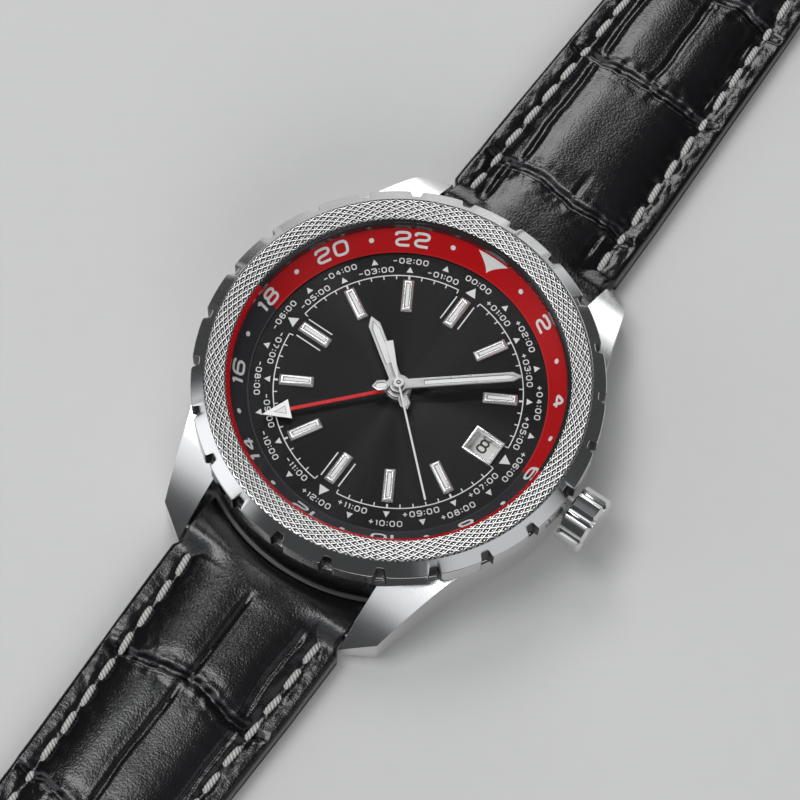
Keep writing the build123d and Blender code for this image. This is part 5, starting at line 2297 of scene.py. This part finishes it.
@dataclass
class Studio:
    """Camera, floor, lamps and surroundings."""

    camera_place: Place = (69.157, -104.953, 328.551)
    camera_aim: Place = (0.745, -0.752, 8.4)
    camera_roll: float = -2.058
    lens: float = 152.53
    sensor: float = 36.0
    nearest: float = 0.01
    floor_size: float = 3.0
    floor_drop: float = 0.02
    floor_colour: Colour = (0.62, 0.62, 0.61)
    floor_tint: float = 0.97
    floor_grain: float = 0.4
    floor_roughness: float = 0.8
    lamps: tuple[Lamp, ...] = (
        Lamp("key_upper", (-0.36, 0.36, 0.62), 0.34, 1.6),
        Lamp("key_lower", (-0.24, -0.11, 0.755), 0.34, 1.6),
        Lamp("window", (-0.34, 0.8, 0.16), 0.52, 1.3),
        Lamp("fill", (0.5, -0.68, 0.54), 0.7, 3.6, mirrored=False),
    )
    sky_colour: Colour = (0.94, 0.96, 1.0)
    sky_strength: float = 0.06
    glows: tuple[Glow, ...] = (
        Glow((0.0, 0.0, 1.0), 0.75, 0.95, 0.1),
        Glow((-0.71, -0.53, 0.46), 0.9, 0.985, 1.2),
        Glow((-0.3, 0.95, 0.07), 0.87, 0.98, 1.0),
        Glow((0.79, -0.14, 0.6), 0.86, 0.97, 0.6),
        Glow((-0.2, -0.35, 0.915), 0.86, 0.99, 0.9),
    )

    def build(self) -> None:
        """Sets up the studio."""
        self.camera()
        self.floor()
        self.surroundings()
        for lamp in self.lamps:
            lamp.hang()
        bpy.context.scene.view_settings.view_transform = "Standard"

    def camera(self) -> None:
        """Places the camera as the fitted one stood."""
        place = Vector(self.camera_place) * MM
        forward = (Vector(self.camera_aim) * MM - place).normalized()
        level_up = (Vector((0, 0, 1)) - forward * forward.z).normalized()
        level_right = forward.cross(level_up)
        roll = math.radians(self.camera_roll)
        up = level_up * math.cos(roll) + level_right * math.sin(roll)
        right = forward.cross(up)
        data = bpy.data.cameras.new("camera")
        data.lens = self.lens
        data.sensor_width = self.sensor
        data.clip_start = self.nearest
        eye = put_in_scene("camera", data)
        eye.matrix_world = Matrix.Translation(place) @ Matrix((right, up, -forward)).transposed().to_4x4()
        bpy.context.scene.camera = eye

    def floor(self) -> None:
        """Lays the pale floor just under the watch."""
        mesh = bmesh.new()
        bmesh.ops.create_grid(mesh, x_segments=2, y_segments=2, size=self.floor_size / 2)
        shifted(mesh, 0, 0, -self.floor_drop * MM)
        floor = mesh_object("floor", mesh)
        paper = bpy.data.materials.new("floor_paper")
        bench = Bench(paper)
        grain = bench.noise(bench.place(), self.floor_grain, 3.0)
        darker = tinted(self.floor_colour, self.floor_tint)
        bench.set("Base Color", bench.blend(grain, self.floor_colour, darker))
        bench.set("Roughness", self.floor_roughness)
        floor.data.materials.append(paper)

    def surroundings(self) -> None:
        """Gives the world a dim even light and its bright patches."""
        world = bpy.data.worlds.new("surroundings")
        bpy.context.scene.world = world
        bench = Bench(world, "ShaderNodeBackground", "ShaderNodeOutputWorld")
        x, y, z = bench.split(bench.read("ShaderNodeTexCoord", output="Generated"))
        strength: Value = self.sky_strength
        for glow in self.glows:
            along_x, along_y, along_z = glow.direction
            nearness = x * along_x + y * along_y + z * along_z
            strength = strength + nearness.ease(glow.start, glow.end) * glow.strength
        bench.set("Color", self.sky_colour)
        bench.set("Strength", strength)


def dress_nodes() -> None:
    """Gives every node of the frame the finish of its slot, but the hub's pipes that of the bar steel."""
    for node, slot in SLOTS.items():
        look = "bar_steel" if node in HUB_PIPES else slot
        materials = frame["nodes"][node].data.materials
        materials.clear()
        materials.append(finish(look))
        LOG.info("%s dressed in %s", node, look)


def main() -> None:
    """Builds the watch and its studio."""
    logging.basicConfig(level=logging.INFO, format="%(name)s: %(message)s")
    dress_nodes()
    groups = (
        Case(), Crown(), Bezel(), DialPrint(), DateNumbers(), DateFrame(), Hands(), SecondsCap(), Strap(),
        Studio()
    )
    for group in groups:
        group.build()
        LOG.info("%s is done", type(group).__name__)


if __name__ == "__main__":
    main()
